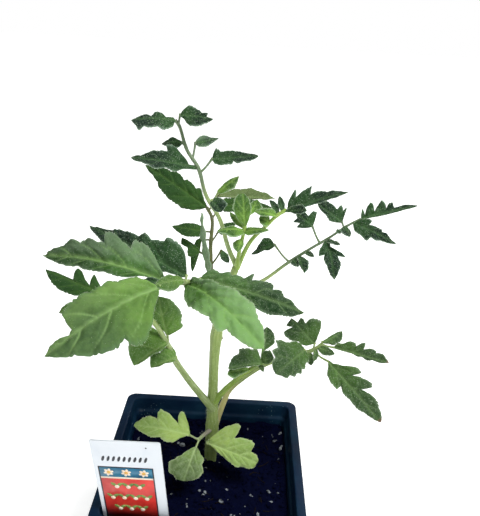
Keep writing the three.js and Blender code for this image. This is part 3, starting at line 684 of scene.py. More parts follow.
@dataclass
class Draft:
    """Points and faces of one piece, gathered in millimetres until they become an object."""

    name: str
    points: list[np.ndarray] = field(default_factory=list)
    faces: list[list[int]] = field(default_factory=list)
    slots: list[int] = field(default_factory=list)
    finishes: list[object] = field(default_factory=list)
    values: dict[str, list[np.ndarray]] = field(
        default_factory=lambda: {key: [] for key in (*BLADE_SHARES, BLADE_PLACE)}
    )
    count: int = 0

    def slot_of(self, finish: object) -> int:
        """The number of a finish's material slot on this piece, added when it is new.

        Args:
            finish: The finish.

        Returns:
            The slot's number.
        """
        if finish not in self.finishes:
            self.finishes.append(finish)
        return self.finishes.index(finish)

    def add(
        self,
        points: np.ndarray,
        faces: Sequence[Sequence[int]],
        finish: object | Sequence[object],
        values: dict[str, np.ndarray] | None = None,
    ) -> None:
        """Add one closed block of faces.

        Args:
            points: An array of points, in millimetres.
            faces: Faces as numbers of this block's points, all turned the same way.
            finish: The block's finish, or one for each face.
            values: Arrays for the mesh's attributes; what isn't given is zero.
        """
        order = 1 if signed_volume(points, faces) >= 0 else -1
        self.faces += [[self.count + i for i in face[::order]] for face in faces]
        several = finish if isinstance(finish, list) else [finish] * len(faces)
        self.slots += [self.slot_of(f) for f in several]
        for key, store in self.values.items():
            blank = np.zeros((len(points), 3)) if key == BLADE_PLACE else np.zeros(len(points))
            store.append((values or {}).get(key, blank))
        self.points.append(points)
        self.count += len(points)

    def build(self, workshop: Workshop, slot: str, sharp_degrees: float | None = None) -> Object:
        """Make the object and let it ride on the body.

        Args:
            workshop: Where the finishes' materials are kept.
            slot: Not used.
            sharp_degrees: Edges that turn by more than this stay sharp; all are soft when None.

        Returns:
            The finished object.
        """
        mesh = bpy.data.meshes.new(self.name)
        mesh.from_pydata((np.vstack(self.points) * MM).tolist(), [], self.faces)
        mesh.polygons.foreach_set("material_index", self.slots)
        for finish in self.finishes:
            mesh.materials.append(workshop.material(finish))
        for key, store in self.values.items():
            joined = np.concatenate(store).astype(np.float32)
            if not joined.any():
                continue
            vector = key == BLADE_PLACE
            layer = mesh.attributes.new(key, "FLOAT_VECTOR" if vector else "FLOAT", "POINT")
            layer.data.foreach_set("vector" if vector else "value", joined.ravel())
        mesh.shade_smooth()
        if sharp_degrees is not None:
            mesh.set_sharp_from_angle(angle=math.radians(sharp_degrees))
        mesh.update()
        piece = bpy.data.objects.new(self.name, mesh)
        bpy.context.scene.collection.objects.link(piece)
        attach(piece, BODY)
        LOG.info("%s: %d faces", self.name, len(self.faces))
        return piece


class Workshop:
    """Keeps one Blender material for each finish."""

    def __init__(self) -> None:
        """Start with no materials."""
        self.made: dict[str, Material] = {}

    def material(self, finish: object) -> Material:
        """The finish's material, made the first time that it is asked for.

        Args:
            finish: The finish.

        Returns:
            Its material.
        """
        if finish.name not in self.made:
            self.made[finish.name] = finish.material()
        return self.made[finish.name]


def ring_faces(rings: int, count: int) -> list[list[int]]:
    """The quads between equal closed rings of points, and a many-sided cap on both ends.

    Args:
        rings: How many rings there are.
        count: Points in each ring.

    Returns:
        The faces, as numbers of the points.
    """
    faces = [
        [r * count + i, r * count + (i + 1) % count, (r + 1) * count + (i + 1) % count, (r + 1) * count + i]
        for r in range(rings - 1)
        for i in range(count)
    ]
    last = (rings - 1) * count
    faces.append(list(range(count))[::-1])
    faces.append([last + i for i in range(count)])
    return faces


def add_tube(
    draft: Draft,
    path: Path,
    radius_at: Callable[[float], float],
    finish: object,
    sides: int,
    step_mm: float,
    ridges: float = 0.0,
    shade_at: Callable[[float], float] | None = None,
) -> None:
    """Add a closed round tube along a path, with soft lengthwise ridges.

    Args:
        draft: The piece that gets the tube.
        path: The tube's middle line.
        radius_at: The radius, in millimetres, for a share of the path's length.
        finish: The tube's finish.
        sides: Points round the tube.
        step_mm: Distance between its rings.
        ridges: Height of the ridges as a share of the radius.
        shade_at: How far the skin turns to its dusk colour, for a share of the length.
    """
    rings = max(3, int(path.length / step_mm) + 1)
    shares = np.linspace(0, 1, rings)
    _, first, second = path.frames(shares)
    centres = path.at(shares)
    angles = np.linspace(0, 2 * math.pi, sides, endpoint=False)
    wave = 1 + ridges * np.cos(5 * angles)
    radii = np.array([radius_at(float(s)) for s in shares])
    across = np.cos(angles)[None, :, None] * first[:, None] + np.sin(angles)[None, :, None] * second[:, None]
    points = centres[:, None] + across * (radii[:, None] * wave[None])[..., None]
    shade = np.array([shade_at(float(s)) if shade_at else 0.0 for s in shares])
    place = np.zeros((rings, sides, 3))
    place[..., 0] = (shares * path.length)[:, None]
    place[..., 1] = (angles / (2 * math.pi))[None] * 2 * math.pi * float(radii.mean())
    draft.add(
        points.reshape(-1, 3),
        ring_faces(rings, sides),
        finish,
        {BLADE_PLACE: place.reshape(-1, 3), "vein": np.repeat(shade, sides)},
    )


class HairCoat:
    """Fine hairs as slim closed pyramids, gathered in one piece."""

    SUNK_MM = 0.1
    THIRDS = (0.0, 2.094, 4.189)  # angles a third of a turn apart
    UNLIKE = (0.31, 0.82, 0.48)  # a direction that hardly any hair points along
    SHORTEST_SHARE = 0.45

    def __init__(self, name: str, seed: int) -> None:
        """Start an empty coat with its own seeded draws."""
        self.draft = Draft(name)
        self.draw = random.Random(seed)

    def hair(self, foot: np.ndarray, direction: np.ndarray, length: float, radius: float = 0.05) -> None:
        """Add one hair.

        Args:
            foot: Where it stands, in millimetres.
            direction: The unit vector that it points along.
            length: Its length.
            radius: Its half thickness at the foot.
        """
        side = unit(np.cross(direction, self.UNLIKE))
        other = np.cross(direction, side)
        ring = [
            foot - direction * self.SUNK_MM + radius * (math.cos(a) * side + math.sin(a) * other)
            for a in self.THIRDS
        ]
        bend = side * length * self.draw.uniform(-0.12, 0.12)
        points = np.array([*ring, foot + direction * length + bend])
        self.draft.add(points, [[0, 1, 3], [1, 2, 3], [2, 0, 3], [2, 1, 0]], HAIR)

    def along_tube(
        self, path: Path, radius_at: Callable[[float], float], per_mm: float, length: float
    ) -> None:
        """Scatter hairs over a tube.

        Args:
            path: The tube's middle line.
            radius_at: The tube's radius for a share of the path's length.
            per_mm: Hairs for each millimetre of length.
            length: The longest hair.
        """
        count = int(path.length * per_mm)
        shares = np.array(sorted(self.draw.random() for _ in range(count)))
        if not count:
            return
        tangents, first, second = path.frames(shares)
        centres = path.at(shares)
        for i, share in enumerate(shares):
            angle = self.draw.uniform(0, 2 * math.pi)
            out = math.cos(angle) * first[i] + math.sin(angle) * second[i]
            tilt = unit(out + tangents[i] * self.draw.uniform(-0.25, 0.35))
            foot = centres[i] + out * radius_at(float(share))
            self.hair(foot, tilt, length * self.draw.uniform(self.SHORTEST_SHARE, 1))


# ------------------------------------------------------------------ leaves


@dataclass(frozen=True)
class Leaflet:
    """One leaflet of a compound leaf.

    It leaves the leaf's stalk at the share `along`, and its blade runs from root, or from the stalk
    when there is none, to tip. Its edges are turning points: where a side vein starts, in hundredths
    of the midrib, and the reach of that vein in millimetres, left and right of the midrib as seen
    from the root. Lean and cant are the degrees that its face turns from upward toward the camera and to
    the right. Arch is how high the midrib bows in millimetres, and rake how far the blade's sides
    run toward the tip for each millimetre across. A pair of shares gives how much the left and the
    right half are tinted paler and greyer: partly the grey of their down, partly a painted sheen on
    the half that catches the light. Scorch is how brown the tip has dried.
    """

    along: float
    tip: Point
    left: Edge
    right: Edge
    root: Point | None = None
    lean: float = 60.0
    arch: float = 0.0
    cant: float = 0.0
    rake: float = 0.25
    tone: Tone | None = None
    frost: tuple[float, float] = (0.0, 0.0)
    scorch: float = 0.0


@dataclass(frozen=True)
class Leaf:
    """One compound leaf: its stalk's path, the radius at both ends, and its leaflets.

    Dusk is the shares of the stalk where its skin begins and ends turning to the dusk colour.
    """

    name: str
    stalk: list[Point]
    radius: tuple[float, float]
    tone: Tone
    skin: Skin
    leaflets: list[Leaflet]
    dusk: tuple[float, float] = (2.0, 3.0)


def oval(reach: float) -> Edge:
    """Both edges of a plain small leaflet whose widest reach is given."""
    return [(10, 0.6 * reach), (40, reach), (75, 0.7 * reach)]


def crumpled(x: np.ndarray, y: np.ndarray, seed: np.ndarray) -> np.ndarray:
    """Soft irregular bumps between -1 and 1, one every two units or so.

    Args:
        x: Places along the surface.
        y: Places across it.
        seed: Three numbers that shift the pattern.

    Returns:
        The height at each place.
    """
    height = np.zeros(np.broadcast(x, y).shape)
    for turn, (angle, pace) in enumerate(((0.3, 1.9), (1.25, 2.3), (2.2, 3.1), (2.85, 2.6), (0.8, 4.3))):
        phase = seed[turn % 3] * (1.3 + 0.37 * turn)
        height = height + np.sin(pace * (x * math.cos(angle) + y * math.sin(angle)) + phase)
    return height / 3.2


@dataclass(frozen=True)
class BladeShape:
    """How a leaflet's blade is shaped between the turning points of its edges, in millimetres."""

    thickness: float = 0.36
    fold: float = 0.12
    root_half: float = 0.5
    tip_half: float = 0.12
    row_mm: float = 0.3
    column_mm: float = 0.75
    fewest_columns: int = 4
    most_columns: int = 14
    fewest_rows: int = 12
    roundness: float = 0.6
    tip_curve: float = 1.25
    groove: float = 0.5
    rib: float = 0.42
    rib_half: float = 0.5
    pillow: float = 1.0
    crumple: float = 0.42
    crumples_per_mm: float = 0.55
    ripple: float = 0.7
    ripple_mm: float = 8.5
    droop: float = 0.55
    vein_half: float = 0.42
    vein_slant: float = 1.5
    side_vein_strength: float = 0.68
    tooth_mm: float = 1.3
    tooth_growth: float = 0.16
    tooth_depth: float = 0.11
    tooth_power: float = 0.55
    # Where the colours of the young tissue, the margin and the dried tip start and how soon they
    # fade, in shares of the blade, and how strong the first two and the veins are at most.
    fresh_until: float = 0.72
    fresh_fade: float = 0.5
    margin_from: float = 0.86
    scorch_from: float = 0.955
    scorch_fade: float = 0.03
    fresh_most: float = 0.95
    margin_most: float = 0.7
    vein_most: float = 0.85
    pattern_shift: float = 40.0


class BladeFrame:
    """Where one blade lies: its root, its three directions, its length and its share of full size."""

    FULL_SIZE = 42.0  # a blade of this length has the whole relief
    LEAST_SIZE = 0.22

    def __init__(self, root: np.ndarray, leaflet: Leaflet) -> None:
        """Work out the directions.

        Args:
            root: Where the blade starts.
            leaflet: The leaflet's data.
        """
        self.root = root
        self.leaflet = leaflet
        span = np.array(leaflet.tip, float) - root
        self.length = float(np.linalg.norm(span))
        self.axis = span / self.length
        lean, cant = math.radians(leaflet.lean), math.radians(leaflet.cant)
        face = np.array([
            math.sin(cant),
            -math.sin(lean) * math.cos(cant),
            math.cos(lean) * math.cos(cant),
        ])
        self.up = unit(face - self.axis * float(face @ self.axis))
        self.side = np.cross(self.up, self.axis)
        self.size = min(1.0, max(self.LEAST_SIZE, self.length / self.FULL_SIZE))
        self.seed = Vector((root[0], root[1], root[2])) * 0.37

    def midline(self, u: np.ndarray) -> tuple[np.ndarray, np.ndarray]:
        """The arched midrib's points and the blade's upward directions at shares u of its length.

        Args:
            u: Shares of the length.

        Returns:
            The points and the unit directions.
        """
        arch = self.leaflet.arch
        points = self.root + self.axis * (self.length * u)[..., None]
        points = points + self.up * (arch * 4 * u * (1 - u))[..., None]
        slope = self.axis * self.length + self.up * (arch * 4 * (1 - 2 * u))[..., None]
        return points, unit(np.cross(slope, self.side))


class BladeBuilder:
    """Builds leaflet blades with rounded lobes, sunken veins and quilted tissue between them."""

    MEETING_GAP = 1e-6
    REGULAR_VEINS = (0.2, 0.38, 0.55, 0.72, 0.86)
    CLOSEST_VEINS = 0.11
    # Hairs: the chance of one for each row of points, the lengths and the half thickness at the foot.
    MARGIN_CHANCE, MARGIN_SHORTEST, MARGIN_RADIUS = 0.62, 0.25, 0.045
    FACE_CHANCE, FACE_SHORTEST, FACE_LONGEST, FACE_RADIUS = 0.5, 0.2, 0.5, 0.04

    def __init__(self, shape: BladeShape) -> None:
        """Keep the shape that all blades share."""
        self.shape = shape

    def edge(self, turns: Edge) -> Edge:
        """Turn a leaflet's edge to shares of the midrib and add the narrow root and the tip.

        Args:
            turns: The edge's turning points, in hundredths of the midrib.

        Returns:
            The turning points with both ends, in shares of the midrib.
        """
        start = [] if turns[0][0] <= 0 else [(0.0, self.shape.root_half)]
        return [*start, *((place / 100, reach) for place, reach in turns), (1.0, self.shape.tip_half)]

    def reach(self, turns: Edge, shares: np.ndarray) -> np.ndarray:
        """Round the outline between turning points: full lobes, narrow notches, pointed tip.

        Args:
            turns: The edge's turning points with both ends.
            shares: Shares of the midrib.

        Returns:
            The edge's reach for each share.
        """
        result = np.zeros_like(shares)
        for number, ((q0, r0), (q1, r1)) in enumerate(zip(turns, turns[1:])):
            inside = (shares >= q0) & (shares <= q1)
            x = (shares[inside] - q0) / max(q1 - q0, self.MEETING_GAP)
            if number == len(turns) - 2:
                curve = 1 - x**self.shape.tip_curve
                result[inside] = r1 + (r0 - r1) * curve
            elif r1 >= r0:
                full = np.sin(x * math.pi / 2)
                curve = x + self.shape.roundness * (full - x)
                result[inside] = r0 + (r1 - r0) * curve
            else:
                full = np.cos(x * math.pi / 2)
                curve = (1 - x) + self.shape.roundness * (full - (1 - x))
                result[inside] = r1 + (r0 - r1) * curve
        return result

    def teeth(self, reach: np.ndarray, along: np.ndarray, shift: float) -> np.ndarray:
        """The small notches of the margin: round teeth with narrow cuts between them.

        Args:
            reach: The edge's reach without teeth.
            along: Millimetres along the midrib.
            shift: A number that moves the pattern.

        Returns:
            How far the edge is drawn in.
        """
        pace = self.shape.tooth_mm + self.shape.tooth_growth * float(reach.max())
        phase = along / pace + 0.35 * np.sin(along * 0.9 + 5 * shift) + shift
        cut = 1 - np.abs(np.sin(math.pi * phase)) ** self.shape.tooth_power
        return self.shape.tooth_depth * reach**0.8 * cut

    def side_veins(self, turns: Edge) -> list[float]:
        """Where the side veins start: at the lobes, and evenly where no lobe is near.

        Args:
            turns: The edge's turning points with both ends.

        Returns:
            Shares of the midrib, rising.
        """
        inner = turns[1:-1]
        lobes = [
            q for i, (q, r) in enumerate(inner)
            if (i == 0 or r >= inner[i - 1][1]) and (i == len(inner) - 1 or r >= inner[i + 1][1])
        ]
        for regular in self.REGULAR_VEINS:
            if all(abs(regular - q) > self.CLOSEST_VEINS for q in lobes):
                lobes.append(regular)
        return sorted(lobes)

    def veins(
        self, frame: BladeFrame, turns: Edge, shares: np.ndarray, fractions: np.ndarray, reach: np.ndarray
    ) -> tuple[np.ndarray, np.ndarray]:
        """Draw the midrib and the side veins of one half.

        Args:
            frame: Where the blade lies.
            turns: The edge's turning points with both ends.
            shares: Shares of the midrib, one for each row.
            fractions: Fractions of the way to the edge, one for each column.
            reach: The edge's reach for each row.

        Returns:
            How strongly the veins show, and how deep the wider troughs round them are, from 0 to 1.
        """
        shape, size = self.shape, frame.size
        across = reach[:, None] * fractions[None]
        vein = np.exp(-((across / (shape.vein_half * (0.6 + size))) ** 2)) * (1.1 - 0.75 * shares[:, None])
        trough = np.exp(-((across / (1.4 * size + 0.3)) ** 2))
        width = shape.vein_half * (0.35 + 0.3 * size)
        for lobe in self.side_veins(turns):
            lobe_reach = float(np.interp(lobe, shares, reach))
            start = lobe - shape.vein_slant * lobe_reach * (1 - fractions[None]) ** 0.75 / frame.length
            steepness = 0.75 * shape.vein_slant * np.clip(1 - fractions[None], 0.05, 1) ** -0.25
            distance = np.abs(shares[:, None] - start) * frame.length / np.hypot(1, steepness)
            fading = np.clip(1.02 - fractions[None] ** 1.6, 0, 1)
            strength = shape.side_vein_strength * np.exp(-((distance / width) ** 2))
            vein = np.maximum(vein, strength * fading)
            trough = np.maximum(trough, np.exp(-((distance / (1.0 * size + 0.25)) ** 2)) * fading)
        return vein, trough

    def half(
        self, frame: BladeFrame, turns: Edge, sign: int, shares: np.ndarray, fractions: np.ndarray
    ) -> dict[str, np.ndarray]:
        """Shape one half of the blade.

        Args:
            frame: Where the blade lies.
            turns: The edge's turning points with both ends.
            sign: 1 for the left half and -1 for the right one.
            shares: Shares of the midrib, one for each row.
            fractions: Fractions of the way to the edge, one for each column.

        Returns:
            The points of both faces, the directions of the upper one and the mesh's attributes.
        """
        shape, size, length, leaflet = self.shape, frame.size, frame.length, frame.leaflet
        reach = self.reach(turns, shares)
        reach = reach - self.teeth(reach, shares * length, frame.seed.z + sign)
        across = reach[:, None] * fractions[None]
        u = shares[:, None] + leaflet.rake * across / length
        midline, normal = frame.midline(u)
        vein, trough = self.veins(frame, turns, shares, fractions, reach)
        relief = -shape.groove * size * vein + shape.pillow * size * (1 - trough)
        relief *= np.clip(1 - fractions[None] ** 4, 0, 1)
        pace = shape.crumples_per_mm
        lumps = crumpled(shares[:, None] * length * pace, sign * across * pace, frame.root)
        relief += shape.crumple * size * lumps * (1 - 0.6 * vein)
        turn = shares[:, None] * length / shape.ripple_mm + 0.31 * sign
        wave = np.sin(2 * math.pi * turn + frame.seed.x)
        relief += shape.ripple * size * wave * fractions[None] ** 2
        relief -= shape.droop * size * fractions[None] ** 2.6
        centre = midline + frame.side * (sign * across)[..., None]
        centre = centre + normal * (shape.fold * across + relief)[..., None]
        midrib = np.exp(-((across / shape.rib_half) ** 2)) * (1 - 0.8 * shares[:, None])
        under = shape.rib * size * midrib + 0.3 * shape.rib * size * vein
        young = np.clip((shape.fresh_until - u) / shape.fresh_fade, 0, 1)
        margin = np.clip((fractions[None] - shape.margin_from) / (1 - shape.margin_from), 0, 1)
        # Painted sheen on the half that catches the light, which also stands for its grey down; strongest
        # toward the edge and the root.
        frost = leaflet.frost[0] if sign > 0 else leaflet.frost[1]
        return {
            "upper": centre + normal * shape.thickness / 2,
            "lower": centre - normal * (shape.thickness / 2 + under)[..., None],
            "normal": normal,
            "vein": np.clip(vein, 0, 1) * shape.vein_most,
            "fresh": np.clip(shape.fresh_most * young**2 * (3 - 2 * young), 0, 1),
            "edge": np.broadcast_to(margin, across.shape) * shape.margin_most,
            "frost": frost * np.clip(2.5 * fractions[None] - 0.3, 0, 1) * np.clip(1 - 0.8 * u, 0, 1),
            "scorch": leaflet.scorch * np.clip((u - shape.scorch_from) / shape.scorch_fade, 0, 1),
            BLADE_PLACE: np.stack([
                u * length + shape.pattern_shift * frame.seed.y,
                sign * across + shape.pattern_shift * frame.seed.z,
                np.zeros_like(across),
            ], axis=-1),
        }

    def build(self, draft: Draft, hairs: HairCoat, root: np.ndarray, leaflet: Leaflet, tone: Tone) -> None:
        """Add one blade and its hairs.

        Args:
            draft: The leaf's piece.
            hairs: The leaf's coat of hairs.
            root: Where the blade starts.
            leaflet: The leaflet's data.
            tone: Which green it has.
        """
        shape = self.shape
        frame = BladeFrame(root, leaflet)
        edges = [self.edge(leaflet.left), self.edge(leaflet.right)]
        rows = max(shape.fewest_rows, int(frame.length / shape.row_mm))
        turning = [q for turns in edges for q, _ in turns]
        shares = np.unique(np.round(np.concatenate([np.linspace(0, 1, rows), turning]), 5))
        widest = max(r for turns in edges for _, r in turns)
        columns = int(min(shape.most_columns, max(shape.fewest_columns, widest / shape.column_mm)))
        fractions = np.linspace(0, 1, columns + 1)
        halves: list[dict[str, np.ndarray]] = []
        for sign, turns in zip((1, -1), edges):
            halves.append(self.half(frame, turns, sign, shares, fractions))
            self.fringe(hairs, halves[-1], frame.side * sign, frame)
        self.close(draft, halves, len(shares), columns, tone)

    @staticmethod
    def close(
        draft: Draft, halves: list[dict[str, np.ndarray]], rows: int, columns: int, tone: Tone
    ) -> None:
        """Join both halves of a blade, its upper and lower face and its rim into one closed block.

        Args:
            draft: The leaf's piece.
            halves: The left and the right half's arrays.
            rows: Rows along the midrib.
            columns: Columns on each side of it.
            tone: Which green it has.
        """
        width = 2 * columns + 1

        def full(key: str) -> np.ndarray:
            """Both halves' arrays side by side, from the left edge over the midrib to the right edge."""
            return np.concatenate([halves[0][key][:, :0:-1], halves[1][key]], axis=1)

        upper, lower = full("upper"), full("lower")
        points = np.concatenate([upper.reshape(-1, 3), lower.reshape(-1, 3)])
        below = rows * width
        faces: list[list[int]] = []
        finishes: list[object] = []
        for r in range(rows - 1):
            for c in range(width - 1):
                a = r * width + c
                b = a + width
                faces.append([a, b, b + 1, a + 1])
                faces.append([below + a, below + a + 1, below + b + 1, below + b])
                finishes += [UPPER_FINISHES[tone], LOWER_FINISHES[tone]]
            for a, b, flip in (
                (r * width, (r + 1) * width, 1),
                (r * width + width - 1, (r + 1) * width + width - 1, -1),
            ):
                faces.append([a, below + a, below + b, b][::flip])
                finishes.append(UPPER_FINISHES[tone])
        end = (rows - 1) * width
        for c in range(width - 1):
            faces.append([c, c + 1, below + c + 1, below + c])
            faces.append([end + c, below + end + c, below + end + c + 1, end + c + 1])
            finishes += [UPPER_FINISHES[tone]] * 2
        values = {key: np.tile(full(key).ravel(), 2) for key in BLADE_SHARES}
        values[BLADE_PLACE] = np.tile(full(BLADE_PLACE).reshape(-1, 3), (2, 1))
        draft.add(points, faces, finishes, values)

    def fringe(
        self, hairs: HairCoat, half: dict[str, np.ndarray], outward: np.ndarray, frame: BladeFrame
    ) -> None:
        """Stand hairs along one edge of the blade and over its upper face.

        Args:
            hairs: The leaf's coat of hairs.
            half: The arrays of this half of the blade.
            outward: The unit vector from the midrib to this edge.
            frame: Where the blade lies.
        """
        draw = hairs.draw
        upper, normal = half["upper"], half["normal"]
        rows, columns = upper.shape[:2]
        longest = 0.55 + 0.2 * frame.size
        for r in range(1, rows - 1):
            if draw.random() < self.MARGIN_CHANCE:
                along = frame.axis * draw.uniform(-0.1, 0.7)
                out = unit(outward + along + normal[r, -1] * draw.uniform(-0.5, 0.5))
                length = draw.uniform(self.MARGIN_SHORTEST, longest)
                hairs.hair(upper[r, -1], out, length, self.MARGIN_RADIUS)
            if draw.random() < self.FACE_CHANCE:
                c = draw.randrange(columns - 1)
                out = unit(normal[r, c] + frame.axis * draw.uniform(-0.3, 0.5))
                length = draw.uniform(self.FACE_SHORTEST, self.FACE_LONGEST)
                hairs.hair(upper[r, c], out, length, self.FACE_RADIUS)


class LeafBuilder:
    """Builds the compound leaves: stalk, leaflet stalks, blades and hairs."""

    STALKLET_RADIUS = 0.5
    FOOT_SWELL, FOOT_MM = 0.35, 3.5
    JOINT_SWELL, JOINT_MM = 0.12, 1.4
    HAIRS_PER_MM, HAIR_LENGTH = 5.0, 0.85
    STALKLET_HAIRS_PER_MM, STALKLET_HAIR_LENGTH = 2.5, 0.5
    SHARP_DEGREES = 50

    def __init__(self, workshop: Workshop, blades: BladeBuilder) -> None:
        """Keep the shared materials and the builder of the blades."""
        self.workshop = workshop
        self.blades = blades

    def build(self, leaf: Leaf, slot: str, seed: int) -> None:
        """Make one leaf, which stands for its CAD node, and its hairs.

        Args:
            leaf: The leaf's data.
            slot: The record's material slot.
            seed: The seed of its random draws.
        """
        draft = Draft(f"{leaf.name}_dressed")
        hairs = HairCoat(f"{leaf.name}_hairs", seed)
        path = Path(leaf.stalk)
        skin = SKIN_FINISHES[leaf.skin]

        def radius_at(share: float) -> float:
            """The stalk's radius: tapering, with a swollen foot and slight joints at the leaflets.

            Args:
                share: A share of the stalk's length.

            Returns:
                The radius.
            """
            radius = leaf.radius[0] + (leaf.radius[1] - leaf.radius[0]) * share
            radius *= 1 + self.FOOT_SWELL * math.exp(-share * path.length / self.FOOT_MM)
            for leaflet in leaf.leaflets:
                away = (share - leaflet.along) * path.length / self.JOINT_MM
                radius += self.JOINT_SWELL * leaf.radius[1] * math.exp(-(away**2))
            return radius

        def dusk_at(share: float) -> float:
            """How far the skin has turned to its dusk colour."""
            return min(1.0, max(0.0, (share - leaf.dusk[0]) / (leaf.dusk[1] - leaf.dusk[0])))

        add_tube(draft, path, radius_at, skin, sides=16, step_mm=0.8, ridges=0.05, shade_at=dusk_at)
        hairs.along_tube(path, radius_at, self.HAIRS_PER_MM, self.HAIR_LENGTH)
        for leaflet in leaf.leaflets:
            start = path.at(min(leaflet.along, 1.0))
            root = start
            if leaflet.root:
                root = np.array(leaflet.root, float)
                self.stalklet(draft, hairs, start, root, skin, dusk_at(leaflet.along))
            self.blades.build(draft, hairs, root, leaflet, leaflet.tone or leaf.tone)
        piece = draft.build(self.workshop, slot, self.SHARP_DEGREES)
        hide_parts(leaf.name)
        hairs.draft.build(self.workshop, slot)

    def stalklet(
        self,
        draft: Draft,
        hairs: HairCoat,
        start: np.ndarray,
        root: np.ndarray,
        skin: GreenSkin,
        dusk: float,
    ) -> None:
        """Add the thin stalk of one leaflet, sagging a little between its ends.

        Args:
            draft: The leaf's piece.
            hairs: The leaf's coat of hairs.
            start: Where it leaves the leaf's stalk.
            root: Where its blade starts.
            skin: Its finish.
            dusk: How far it has turned to the dusk colour.
        """
        gap = root - start
        middle = (start + root) / 2 + np.array([0, 0, -0.06]) * float(np.linalg.norm(gap))
        path = Path([tuple(start), tuple(middle), tuple(root + unit(gap) * 0.6)])
        radius = self.STALKLET_RADIUS

        def radius_at(share: float) -> float:
            """Slightly thicker at both ends."""
            return radius * (0.82 + 0.3 * (2 * share - 1) ** 2)

        add_tube(draft, path, radius_at, skin, sides=10, step_mm=0.7, shade_at=lambda _: dusk)
        hairs.along_tube(path, radius_at, self.STALKLET_HAIRS_PER_MM, self.STALKLET_HAIR_LENGTH)


